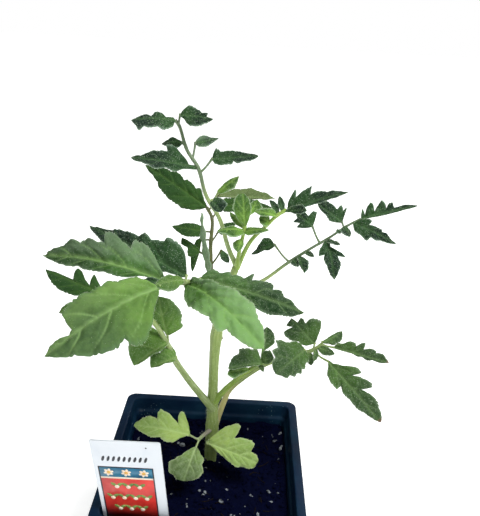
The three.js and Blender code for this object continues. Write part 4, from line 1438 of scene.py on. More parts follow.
LEAVES: tuple[Leaf, ...] = (
    Leaf(
        name="leaf_top_left", tone=Tone.DEEP, skin=Skin.PALE, radius=(1.0, 0.6), dusk=(0.48, 0.62),
        stalk=[(10, 12, 179), (6, 9, 189), (2, 7, 202), (-4, 7, 212), (-7, 5, 223), (-12, 7, 230),
               (-15, 9, 238), (-17, 9, 241)],
        leaflets=[
            Leaflet(along=1, tip=(-33, 3, 241), lean=50, arch=1,
                left=[(4, 3.5), (22, 5), (40, 3.8), (55, 4.2), (70, 3.2), (79, 5), (89, 2.5)],
                right=[(3, 1.2), (20, 0.8), (30, 2.5), (38, 3), (53, 1.3), (63, 2), (82, 1)]),
            Leaflet(along=0.97, root=(-15, 8, 243), tip=(-2, 3, 243), arch=1, rake=0.8,
                left=[(0, 4), (12, 3.8), (37, 2.7), (60, 1.6), (72, 2), (78, 0.6)],
                right=[(9, 1.5), (13, 3.5), (22, 4.5), (42, 4), (67, 2.5), (84, 1.5)]),
            Leaflet(along=0.84, root=(-14, 10, 232), tip=(-23, 15, 230), lean=50, arch=1,
                left=[(3, 2), (17, 3.2), (57, 2)], right=[(16, 1), (42, 2.2), (65, 1.5)]),
            Leaflet(along=0.7, tip=(-32, -3, 228), lean=50, arch=1, rake=0.6,
                left=[(20, 2), (29, 3.5), (45, 2.8), (58, 3.5), (70, 2.5), (84, 1.5)],
                right=[(14, 1), (16, 4), (20, 6.5), (27, 7.2), (35, 7), (38, 4.8), (54, 4.2), (69, 3),
                       (83, 1.5)]),
            Leaflet(along=0.76, root=(-9, 10, 232), tip=(0, 13, 234), frost=(0.3, 0.1), lean=50,
                left=[(3, 1.2), (20, 2.5), (38, 2.5), (67, 1)], right=[(4, 2), (30, 2.6), (63, 1.5)]),
            Leaflet(along=0.67, root=(-2, 6, 227), tip=(16, 3, 230), lean=55, rake=0.4,
                left=[(0, 4.5), (5, 3.8), (14, 2.8), (30, 3.2), (47, 2.5), (74, 1.5)],
                right=[(2, 2), (19, 3), (37, 3), (44, 1.5), (50, 2.4), (62, 2), (80, 2)]),
            Leaflet(along=0.47, root=(1, 4, 214), tip=(9, 1, 222), tone=Tone.YOUNG, scorch=0.7, arch=1,
                left=[(5, 0.8), (48, 1.2), (70, 1)], right=[(11, 1.5), (42, 2.5), (62, 3), (77, 2)]),
            Leaflet(along=0.44, root=(-1, 0, 212), tip=(3, -5, 209), lean=70, arch=1,
                left=[(3, 1.8), (42, 3.6), (72, 4), (90, 2)], right=[(5, 1.5), (44, 2), (74, 1.8)]),
        ],
    ),
    Leaf(
        name="leaf_top_right", tone=Tone.DEEP, skin=Skin.FRESH, radius=(1.0, 0.6),
        stalk=[(10, 11, 179), (15, 9, 192), (21, 7, 200), (25, 6, 205), (29, 6, 208)],
        leaflets=[
            Leaflet(along=1, tip=(52, 1, 218), lean=55, arch=1, rake=0.7,
                left=[(0, 5), (3, 6.8), (6, 6.4), (10, 3.6), (17, 5.2), (24, 6), (31, 6.3), (35, 3.2),
                      (47, 3.5), (64, 2.4), (82, 1.5)],
                right=[(10, 0.6), (30, 1.5), (42, 1.1), (53, 1.5), (70, 0.9), (86, 0.6)]),
            Leaflet(along=0.97, tip=(36, -3, 211),
                left=[(20, 0.6), (33, 2), (73, 2.5)], right=[(30, 0.6), (52, 1.5), (78, 1.5)]),
            Leaflet(along=0.95, tip=(26, 11, 212), left=oval(1.5), right=oval(1.5)),
            Leaflet(along=0.88, tip=(22, 11, 210), left=oval(0.7), right=oval(2.3)),
            Leaflet(along=0.86, tip=(16, 1, 208), tone=Tone.YOUNG, arch=1,
                left=[(30, 0.7), (68, 1.5)], right=[(24, 2.5), (70, 1.5)]),
            Leaflet(along=0.74, tip=(18, 5, 204), tone=Tone.YOUNG, lean=50, arch=1,
                left=oval(3), right=oval(3)),
        ],
    ),
    Leaf(
        name="leaf_right", tone=Tone.DEEP, skin=Skin.PALE, radius=(0.9, 0.42), dusk=(0.35, 0.5),
        stalk=[(6, 11, 163), (15, 15, 168), (23, 17, 172), (32, 15, 181), (41, 13, 189), (48, 11, 195),
               (54, 9, 201), (60, 9, 205)],
        leaflets=[
            Leaflet(along=1, tip=(81, 5, 213), arch=1, rake=0.35,
                left=[(0, 4), (6, 1), (10, 4.5), (15, 5.5), (20, 4.5), (24, 1.5), (30, 4.2), (35, 5.5),
                      (41, 4), (45, 1.6), (49, 3.5), (54, 3.5), (59, 1.2), (76, 1.5)],
                right=[(18, 0.6), (37, 1), (60, 0.8), (88, 0.5)]),
            Leaflet(along=0.95, tip=(72, -5, 200), lean=55, arch=1, rake=0.5,
                left=[(2, 1), (6, 3), (17, 4), (25, 4), (30, 1.6), (41, 2.5), (54, 2.5), (62, 1.5),
                      (70, 1.8), (85, 0.8)],
                right=[(9, 3.5), (25, 4), (38, 5), (47, 3), (56, 3.2), (66, 2), (85, 1.5)]),
            Leaflet(along=0.89, root=(53, 12, 202), tip=(43, 19, 207), arch=1, rake=0.35,
                left=[(3, 1), (12, 2), (24, 3), (48, 2), (74, 1.5)],
                right=[(0, 2), (1, 5.5), (4, 6), (10, 4.2), (21, 5.5), (30, 3), (50, 3.5), (72, 3.5),
                       (89, 2)]),
            Leaflet(along=0.9, tip=(55, 1, 200), lean=55, left=oval(1.2), right=oval(3.2)),
            Leaflet(along=0.86, tip=(50, 5, 200), lean=55, left=oval(1.4), right=oval(1)),
            Leaflet(along=0.76, tip=(49, -9, 185), arch=2, rake=0.6,
                left=[(24, 0.8), (29, 2.5), (35, 4.8), (43, 5.6), (47, 2.6), (60, 3.6), (78, 2.4)],
                right=[(17, 3), (28, 4.6), (38, 5), (41, 2.6), (51, 3.2), (67, 2.5), (83, 1.5)]),
            Leaflet(along=0.76, tip=(51, -1, 197), lean=50, left=oval(0.9), right=oval(1.8)),
            Leaflet(along=0.71, root=(41, 13, 199), tip=(34, 17, 203), arch=1, rake=0.4,
                left=[(2, 1.5), (14, 3.5), (30, 4.8), (42, 2.5), (64, 3.8), (74, 1.4)],
                right=[(0, 4), (3, 5.8), (22, 5), (36, 2.2), (62, 2.8), (75, 1.6)]),
            Leaflet(along=0.6, tip=(42, 7, 188), left=oval(1.4), right=oval(1)),
            Leaflet(along=0.55, tip=(38, 1, 183), lean=65, left=oval(3.4), right=oval(0.8)),
            Leaflet(along=0.51, tip=(36, 7, 183), left=oval(2.4), right=oval(2)),
            Leaflet(along=0.48, root=(26, 18, 188), tip=(16, 23, 181), arch=1,
                left=[(20, 1.5), (40, 0.7), (75, 1)], right=[(0, 3), (6, 4), (20, 4.6), (42, 3), (67, 1)]),
        ],
    ),
    Leaf(
        name="leaf_low_right", tone=Tone.MIDDLE, skin=Skin.FRESH, radius=(1.4, 0.7), dusk=(0.75, 0.95),
        stalk=[(3, 8, 112), (8, 7, 120), (13, 5, 127), (18, 2, 134), (23, 0, 140)],
        leaflets=[
            Leaflet(along=0.96, root=(23, -2, 140), tip=(9, -15, 145), lean=50, arch=2,
                left=[(20, 0.8), (50, 0.8), (85, 1)],
                right=[(0, 5), (5, 7), (20, 6.2), (36, 7.2), (58, 7), (64, 5), (77, 4.5), (90, 2.5)]),
            Leaflet(along=1, tip=(25, 13, 150), lean=70, arch=1,
                left=[(40, 0.8), (62, 1), (83, 1.5)],
                right=[(30, 0.8), (40, 3), (50, 4.5), (69, 4), (89, 2.5)]),
            Leaflet(along=1, tip=(28, -3, 144), left=[(29, 4), (84, 3.5)], right=oval(2)),
            Leaflet(along=0.95, tip=(24, -5, 138), left=oval(1.4), right=oval(1)),
            Leaflet(along=0.78, tip=(9, -14, 142), tone=Tone.YOUNG, lean=50, arch=1,
                left=[(20, 0.8), (60, 1.8), (88, 3)], right=[(30, 1.2), (80, 2.2)]),
        ],
    ),
    Leaf(
        name="leaf_low_right_rear", tone=Tone.MIDDLE, skin=Skin.CREAM, radius=(1.5, 0.7), dusk=(0.4, 0.2),
        stalk=[(2.5, 10, 93), (7, 16, 106), (11, 18, 114), (24, 18, 126), (37, 14, 135), (46, 10, 141),
               (50, 9, 145)],
        leaflets=[
            Leaflet(along=0.88, root=(42, 5, 144), tip=(29, -11, 141), lean=55, arch=2, rake=0.2,
                left=[(3, 3), (18, 5), (26, 4.8), (36, 6.3), (44, 5.7), (52, 6.8), (60, 5.5), (68, 6),
                      (75, 4.5), (82, 4.6), (93, 1.8)],
                right=[(0, 4), (16, 6.5), (30, 7.5), (38, 10), (47, 11), (55, 8), (67, 8.7), (76, 5.5),
                       (87, 4.8), (96, 2.5)]),
            Leaflet(along=0.9, tip=(46, 7, 135), left=oval(2), right=oval(2)),
            Leaflet(along=0.93, root=(47, 11, 144), tip=(36, 17, 153), lean=70, arch=2, rake=0.5,
                left=[(2, 3.5), (13, 5), (22, 4.6), (32, 7), (50, 7.5), (62, 7), (72, 2), (80, 4)],
                right=[(0, 7), (6, 9.2), (20, 8.6), (39, 6.5), (50, 3.4), (64, 4), (71, 3.4), (76, 1)]),
            Leaflet(along=1, root=(50, 9, 146), tip=(59, 13, 150), lean=70, arch=1,
                left=[(18, 0.6), (43, 1), (74, 1)], right=[(17, 2), (29, 3.5), (60, 3.5), (88, 2)]),
            Leaflet(along=1, root=(55, 7, 145), tip=(77, -5, 146), scorch=0.9, arch=1, rake=0.5,
                left=[(2, 2.5), (10, 2.7), (19, 4.5), (29, 4.5), (34, 3), (39, 5.3), (44, 5.5), (49, 2.5),
                      (57, 3.7), (66, 3.7), (71, 2.6), (80, 3), (92, 1.3)],
                right=[(13, 0.6), (35, 0.6), (46, 1.3), (52, 0.8), (60, 1.7), (71, 1), (84, 1.3)]),
            Leaflet(along=0.97, tip=(55, 3, 144), lean=50, left=oval(1.7), right=oval(2.6)),
            Leaflet(along=0.93, root=(52, 0, 142), tip=(73, -21, 127), scorch=0.9, arch=3, rake=0.75,
                left=[(5, 1), (10, 3.5), (14, 7), (19, 8), (25, 7.2), (28, 3.6), (31, 6), (37, 7.2),
                      (43, 7.7), (48, 6.6), (51, 2.6), (57, 4.2), (66, 4.7), (78, 3.5), (89, 2.4)],
                right=[(2, 2), (5, 4.5), (13, 5.5), (23, 5.5), (30, 3), (37, 4.6), (49, 4), (61, 4.2),
                       (73, 2.8), (89, 1.5)]),
            Leaflet(along=0.95, tip=(46, 1, 141), lean=50, left=oval(1.8), right=oval(0.8)),
        ],
    ),
    Leaf(
        name="leaf_low_left", tone=Tone.WARM, skin=Skin.PALE, radius=(1.7, 0.7),
        stalk=[(2, 8, 108), (-6, 3, 122), (-11, -3, 134), (-14, -8, 143), (-16, -15, 154), (-20, -23, 168),
               (-27, -27, 177), (-36, -29, 182)],
        leaflets=[
            Leaflet(along=0.41, root=(-13, -12, 147), tip=(-21, -27, 151), arch=2,
                left=[(15, 0.8), (30, 1.5), (58, 0.7), (79, 1)],
                right=[(3, 5), (14, 6), (30, 5.2), (44, 5.7), (61, 4), (72, 4.8), (84, 4.5)]),
            Leaflet(along=0.53, root=(-16, -18, 157), tip=(-27, -31, 154), arch=3,
                left=[(30, 1.5), (55, 0.8), (75, 1), (89, 0.8)],
                right=[(0, 6), (5, 8.5), (20, 9.6), (33, 9), (48, 9.6), (70, 8.5), (86, 5.2)]),
            Leaflet(along=0.56, root=(-16, -17, 160), tip=(-20, -13, 175), lean=65, arch=3,
                left=[(10, 0.8), (30, 2.6), (40, 5.2), (63, 5.2), (90, 3.3)],
                right=[(0, 2.5), (3, 5.5), (10, 7.3), (22, 7), (37, 8), (60, 6.5), (80, 4.5)]),
            Leaflet(along=0.86, tip=(-53, -35, 177), lean=55, arch=1,
                left=[(30, 0.7), (88, 1)], right=[(60, 0.8), (68, 3), (76, 4.3), (86, 3.4), (94, 2)]),
            Leaflet(along=1, tip=(-58, -31, 192), tone=Tone.OLIVE, lean=70, arch=1, rake=0.5,
                left=[(10, 2.5), (22, 1.8), (37, 4.5), (55, 5), (70, 4), (85, 2.5)],
                right=[(10, 0.6), (17, 3.5), (22, 5.5), (27, 4), (31, 1), (37, 2.2), (42, 4.6), (48, 5.2),
                       (53, 4), (57, 0.7), (85, 0.6)]),
        ],
    ),
    Leaf(
        name="leaf_near", tone=Tone.MIDDLE, skin=Skin.PALE, radius=(1.4, 0.8),
        stalk=[(5, 8, 159), (1, -1, 170), (-3, -15, 182), (-6, -28, 189), (-11, -39, 193), (-15, -47, 195)],
        leaflets=[
            Leaflet(along=1, tip=(-45, -74, 183), tone=Tone.SOFT, lean=50, arch=6, rake=0.4, frost=(0, 0.5),
                left=[(4, 3.5), (13, 7.5), (21, 12.5), (27, 15), (34, 14.8), (41, 10.4), (48, 11.7),
                      (56, 11), (64, 9.5), (78, 6)],
                right=[(2, 3.5), (10, 6.3), (20, 7.6), (31, 8.7), (47, 8.5), (55, 9), (62, 8.5), (68, 7.2),
                       (71, 5.2), (75, 1.5), (79, 0.8), (84, 1.5), (92, 1.5)]),
            Leaflet(along=0.9, root=(-14, -40, 194), tip=(-54, -44, 203), tone=Tone.VIVID, lean=50, arch=9,
                rake=0.6, frost=(0, 0.4),
                left=[(5, 1), (12, 0.8), (19, 1.5), (26, 3), (35, 4), (45, 3.3), (56, 4.1), (67, 2.7),
                      (74, 3.5), (87, 2)],
                right=[(0, 3), (5, 6.5), (9, 9), (16, 10), (24, 6.3), (30, 8), (36, 10.5), (40, 10.3),
                       (45, 6.3), (51, 6), (57, 7.1), (65, 5.2), (71, 5.6), (82, 3.5), (92, 1.5)]),
            Leaflet(along=0.76, root=(-8, -25, 190), tip=(-50, -1, 199), tone=Tone.DEEP, lean=55, arch=3,
                rake=0.4,
                left=[(3, 1.5), (13, 2.5), (27, 4.5), (45, 5.5), (65, 4.5), (80, 3)],
                right=[(1, 3), (3, 6.5), (6, 8.2), (12, 9.6), (18, 9.3), (25, 7.3), (34, 5.8), (42, 7.2),
                       (47, 4.8), (54, 4.6), (61, 4.5), (73, 2.2), (87, 1)]),
            Leaflet(along=0.76, root=(-8, -28, 188), tip=(21, -57, 180), tone=Tone.LIGHT, lean=45, arch=9,
                frost=(0.3, 0),
                left=[(3, 2.7), (27, 4.6), (46, 6), (58, 7.5), (70, 7.4), (81, 5.5), (91, 3.3)],
                right=[(6, 2), (16, 4.5), (30, 7.6), (37, 7.4), (45, 7), (52, 5.8), (60, 7), (66, 7.5),
                       (71, 4.8), (78, 5), (87, 4), (95, 2.4)]),
            Leaflet(along=0.6, root=(-4, -11, 183), tip=(37, -20, 175), tone=Tone.RICH, lean=50, arch=4,
                rake=0.5, frost=(0.15, 0),
                left=[(1, 3), (4, 4.8), (11, 4.3), (18, 5.5), (23, 4.3), (30, 5.2), (34, 5), (38, 7.6),
                      (42, 4.6), (48, 5.6), (54, 6.5), (59, 6), (63, 3.8), (68, 5), (75, 3.3), (89, 1.5)],
                right=[(10, 1.5), (24, 3.7), (38, 4.4), (51, 5.6), (62, 6), (73, 5), (85, 3.5), (95, 1.5)]),
            Leaflet(along=0.8, root=(-8, -34, 192), tip=(-16, -47, 196), tone=Tone.WARM, lean=50, arch=1,
                left=[(30, 2.2), (50, 3.6), (74, 4), (90, 2.3)], right=[(15, 2), (50, 2.5), (80, 1.5)]),
            Leaflet(along=0.97, root=(-14, -44, 195), tip=(-21, -45, 196), tone=Tone.DEEP, lean=50, arch=1,
                left=oval(2.1), right=[(22, 1.2), (54, 1.6), (78, 1)]),
        ],
    ),
    Leaf(
        name="leaf_back", tone=Tone.OLIVE, skin=Skin.OLIVE, radius=(1.2, 0.7),
        stalk=[(4, 10, 144), (0, 21, 156), (-2, 29, 169), (-3, 35, 180), (-3, 41, 190), (-6, 45, 195)],
        leaflets=[
            Leaflet(along=1, tip=(-34, 39, 215), arch=2, rake=0.4,
                left=[(5, 3.5), (14, 6), (23, 7.5), (35, 7.5), (48, 7), (60, 6), (72, 3.5), (85, 2)],
                right=[(6, 2), (12, 4.5), (18, 5.6), (23, 4), (30, 5.1), (37, 5.6), (43, 4), (49, 5.1),
                       (57, 5.6), (63, 4.2), (70, 4), (83, 2.5)]),
            Leaflet(along=0.97, root=(-1, 49, 200), tip=(27, 63, 196), tone=Tone.MILD, lean=55,
                left=[(10, 2), (26, 3.5), (52, 4.5), (74, 3)], right=[(18, 1), (74, 1)]),
            Leaflet(along=0.9, root=(0, 47, 196), tip=(25, 53, 194),
                left=[(6, 3.5), (44, 4), (74, 2.5)], right=[(6, 3.5), (45, 3), (79, 1.5)]),
            Leaflet(along=0.8, root=(-6, 39, 185), tip=(-21, 35, 188), lean=55,
                left=[(3, 2.5), (19, 3.5), (55, 4), (78, 2.5)],
                right=[(8, 2), (26, 3), (57, 2.5), (83, 1)]),
            Leaflet(along=0.62, root=(-8, 37, 175), tip=(-17, 39, 181),
                left=[(3, 4), (19, 5), (50, 2), (81, 2.5)], right=oval(1.2)),
            Leaflet(along=0.74, root=(-8, 40, 181), tip=(-12, 43, 162), lean=70,
                left=oval(1), right=[(5, 2), (40, 3), (73, 2)]),
            Leaflet(along=0.35, root=(-3, 25, 170), tip=(-7, 23, 199), tone=Tone.FROSTY, cant=-30,
                left=[(10, 1.5), (28, 2), (54, 2), (81, 1)],
                right=[(12, 2), (30, 1.5), (56, 0.7), (81, 0.6)]),
            Leaflet(along=0.72, root=(0, 39, 185), tip=(8, 43, 188),
                left=[(8, 1), (41, 2.5), (83, 1.5)], right=[(3, 2), (52, 2)]),
            Leaflet(along=0.55, root=(2, 33, 178), tip=(6, 31, 173), tone=Tone.DEEP, lean=65,
                left=oval(1.8), right=oval(2.2)),
        ],
    ),
    Leaf(
        name="shoot_tip", tone=Tone.YOUNG, skin=Skin.FRESH, radius=(0.9, 0.6),
        stalk=[(10, 9, 181), (11, 4, 191), (12, 3, 197), (12.5, 3, 201)],
        leaflets=[
            Leaflet(along=1, tip=(11, 5, 214), lean=75, arch=2,
                left=[(5, 1), (30, 3.5), (53, 4.5), (77, 3.5), (94, 2)],
                right=[(5, 1), (23, 2), (50, 3), (75, 2.5), (94, 1)]),
            Leaflet(along=0.97, tip=(6, 11, 204), lean=70, left=oval(2), right=oval(1)),
            Leaflet(along=0.98, root=(14, 6, 205), tip=(17, 11, 210), lean=70,
                left=oval(2), right=[(23, 1.5), (57, 3.5)]),
            Leaflet(along=0.9, tip=(2, -7, 202), lean=45, arch=1,
                left=[(26, 3), (61, 4), (81, 2)], right=[(11, 1), (47, 1.5)]),
            Leaflet(along=0.88, tip=(22, -3, 202), lean=50, arch=1,
                left=[(21, 1.5), (65, 1)], right=[(20, 2), (55, 2)]),
            Leaflet(along=0.72, tip=(10, -3, 192), left=oval(1.5), right=oval(3)),
        ],
    ),
    Leaf(
        name="basal_leaf_left", tone=Tone.SEED, skin=Skin.ROSY, radius=(0.9, 0.7), dusk=(0.9, 0.6),
        stalk=[(2, 8, 96), (-1, 1, 98), (-3, -5, 100)],
        leaflets=[
            Leaflet(along=1, root=(-7, -5, 102), tip=(-33, -3, 104), lean=35, arch=3, rake=0.5,
                left=[(5, 0.7), (11, 2.5), (17, 5.5), (29, 5.5), (40, 4.3), (55, 4.6), (76, 3)],
                right=[(0, 6), (2, 9), (6, 9.2), (12, 7.5), (17, 3.8), (24, 5.5), (32, 7.5), (42, 8.6),
                       (49, 7), (54, 4.1), (65, 4.7), (78, 4), (91, 2)]),
            Leaflet(along=1, root=(-4, -8, 98), tip=(-8, -21, 90), tone=Tone.DUSTY, lean=50, arch=2,
                left=[(3, 1), (14, 3), (22, 5.5), (38, 5.2), (50, 7), (67, 6.2), (79, 4.4), (90, 2.6)],
                right=[(12, 2.5), (31, 4.5), (45, 7), (55, 9), (69, 8.5), (81, 7), (87, 4.6), (95, 3.6)]),
        ],
    ),
    Leaf(
        name="basal_leaf_right", tone=Tone.SEED, skin=Skin.PALE, radius=(0.9, 0.7),
        stalk=[(2, 8, 90), (1, 3, 92), (1, -1, 95)],
        leaflets=[
            Leaflet(along=1, tip=(24, -9, 92), lean=45, arch=3, rake=0.5,
                left=[(0, 6), (4, 9.5), (10, 11.2), (18, 12.6), (26, 12), (31, 9.5), (34, 6), (46, 7.6),
                      (58, 8.1), (69, 7.2), (76, 3.6), (87, 3.2), (96, 1.6)],
                right=[(5, 0.8), (14, 1.5), (24, 2.6), (34, 3.6), (45, 4.6), (57, 5.5), (66, 4.3), (80, 4),
                       (93, 2.4)]),
        ],
    ),
)


# ------------------------------------------------------------------ pot


def squared_ring(
    half: float, z: float, corner: float, per_corner: int = 10, per_side: int = 14
) -> np.ndarray:
    """A square with round corners, as a ring of points at one height.

    Args:
        half: Half of the square's width.
        z: Its height.
        corner: The corners' radius.
        per_corner: Steps round each corner.
        per_side: Steps along each side.

    Returns:
        The ring's points, in the order of rising angle.
    """
    points = []
    centre = half - corner
    for turn in range(4):
        angle = turn * math.pi / 2
        cos, sin = math.cos(angle), math.sin(angle)
        local = [
            (centre + corner * math.cos(a), centre + corner * math.sin(a))
            for a in np.linspace(0, math.pi / 2, per_corner + 1)
        ]
        local += [(centre - 2 * centre * i / per_side, half) for i in range(1, per_side)]
        points += [(x * cos - y * sin, x * sin + y * cos, z) for x, y in local]
    return np.array(points)


@dataclass
class Pot:
    """The square nursery pot, with the CAD pot's sizes and every edge rounded, in millimetres."""

    height: float
    rim_half: float
    workshop: Workshop
    flange: float = 4.0
    lip: float = 3.0
    wall: float = 1.3
    floor_half: float = 33.0
    shoulder: float = 80.5
    step: float = 1.2
    corner: float = 4.5
    corner_taper: float = 0.15
    hole_radius: float = 4.0
    hole_offset: float = 19.0
    edge_radius: float = 0.55
    bend_steps: int = 4

    def inner_half(self, z: float) -> float:
        """Half of the inside width at height z, below the stacking step.

        Args:
            z: A height above the underside.

        Returns:
            The half width.
        """
        top = self.rim_half - self.flange - self.step - self.wall * 0.6
        low = self.floor_half - self.wall
        return low + (top - low) * (z - self.wall) / (self.shoulder - self.wall)

    def corner_radius(self, half: float) -> float:
        """The corner radius where the pot's half width is `half`."""
        return self.corner - self.corner_taper * (self.rim_half - half)

    def ring(self, half: float, z: float) -> np.ndarray:
        """One ring of the pot's wall."""
        return squared_ring(half, z, self.corner_radius(half))

    def profile(self) -> list[tuple[float, float]]:
        """The wall's section from the underside over the rim to the inner floor.

        Returns:
            Half widths and heights, in order.
        """
        inner = self.rim_half - self.flange
        upper = self.inner_half(self.shoulder) + self.step
        return [
            (self.floor_half, 0.0),
            (self.inner_half(self.shoulder) + self.wall, self.shoulder - self.wall),
            (upper + self.wall, self.shoulder),
            (inner + self.wall, self.height - self.wall),
            (self.rim_half - self.wall, self.height - self.wall),
            (self.rim_half - self.wall, self.height - self.lip),
            (self.rim_half, self.height - self.lip),
            (self.rim_half, self.height),
            (inner, self.height),
            (upper, self.shoulder + self.wall),
            (self.inner_half(self.shoulder), self.shoulder),
            (self.inner_half(self.wall), self.wall),
        ]

    def rounded(self) -> list[tuple[float, float]]:
        """The same section with a small bend at each corner of it.

        Returns:
            Half widths and heights, in order.
        """
        corners = [np.array(p) for p in self.profile()]
        before = [np.array((0.0, 0.0)), *corners]
        after = [*corners[1:], np.array((0.0, self.wall))]
        points: list[tuple[float, float]] = []
        for last, corner, following in zip(before, corners, after):
            into, out = last - corner, following - corner
            reach = min(self.edge_radius, 0.45 * np.linalg.norm(into), 0.45 * np.linalg.norm(out))
            start, end = corner + unit(into) * reach, corner + unit(out) * reach
            for i in range(self.bend_steps + 1):
                t = i / self.bend_steps
                bend = start * (1 - t) ** 2 + corner * 2 * t * (1 - t) + end * t**2
                points.append((float(bend[0]), float(bend[1])))
        return points

    def build(self) -> None:
        """Make the pot, with its drain holes cut through the floor."""
        draft = Draft("pot_dressed")
        rings = [self.ring(half, z) for half, z in self.rounded()]
        draft.add(np.vstack(rings), ring_faces(len(rings), len(rings[0])), POT_PLASTIC)
        piece = draft.build(self.workshop, "pot_plastic", sharp_degrees=45)
        cutters = [
            self.cutter(x, y)
            for x in (-self.hole_offset, self.hole_offset)
            for y in (-self.hole_offset, self.hole_offset)
        ]
        for cutter in cutters:
            cut = piece.modifiers.new("drain", "BOOLEAN")
            cut.operation = "DIFFERENCE"
            cut.solver = "EXACT"
            cut.object = cutter
        bpy.context.view_layer.update()
        graph = bpy.context.evaluated_depsgraph_get()
        finished = bpy.data.meshes.new_from_object(piece.evaluated_get(graph))
        piece.modifiers.clear()
        piece.data = finished
        for cutter in cutters:
            bpy.data.objects.remove(cutter)
        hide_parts("pot")

    def cutter(self, x: float, y: float) -> Object:
        """A round cutter for one drain hole.

        Args:
            x: The hole's place across the pot.
            y: Its place from front to back.

        Returns:
            The cutter, to be removed after use.
        """
        shape = bmesh.new()
        bmesh.ops.create_cone(
            shape,
            cap_ends=True,
            segments=32,
            radius1=self.hole_radius * MM,
            radius2=self.hole_radius * MM,
            depth=4 * self.wall * MM,
            matrix=Matrix.Translation((x * MM, y * MM, 0)),
        )
        mesh = bpy.data.meshes.new("drain_cutter")
        shape.to_mesh(mesh)
        shape.free()
        cutter = bpy.data.objects.new("drain_cutter", mesh)
        bpy.context.scene.collection.objects.link(cutter)
        return cutter


# ------------------------------------------------------------------ soil


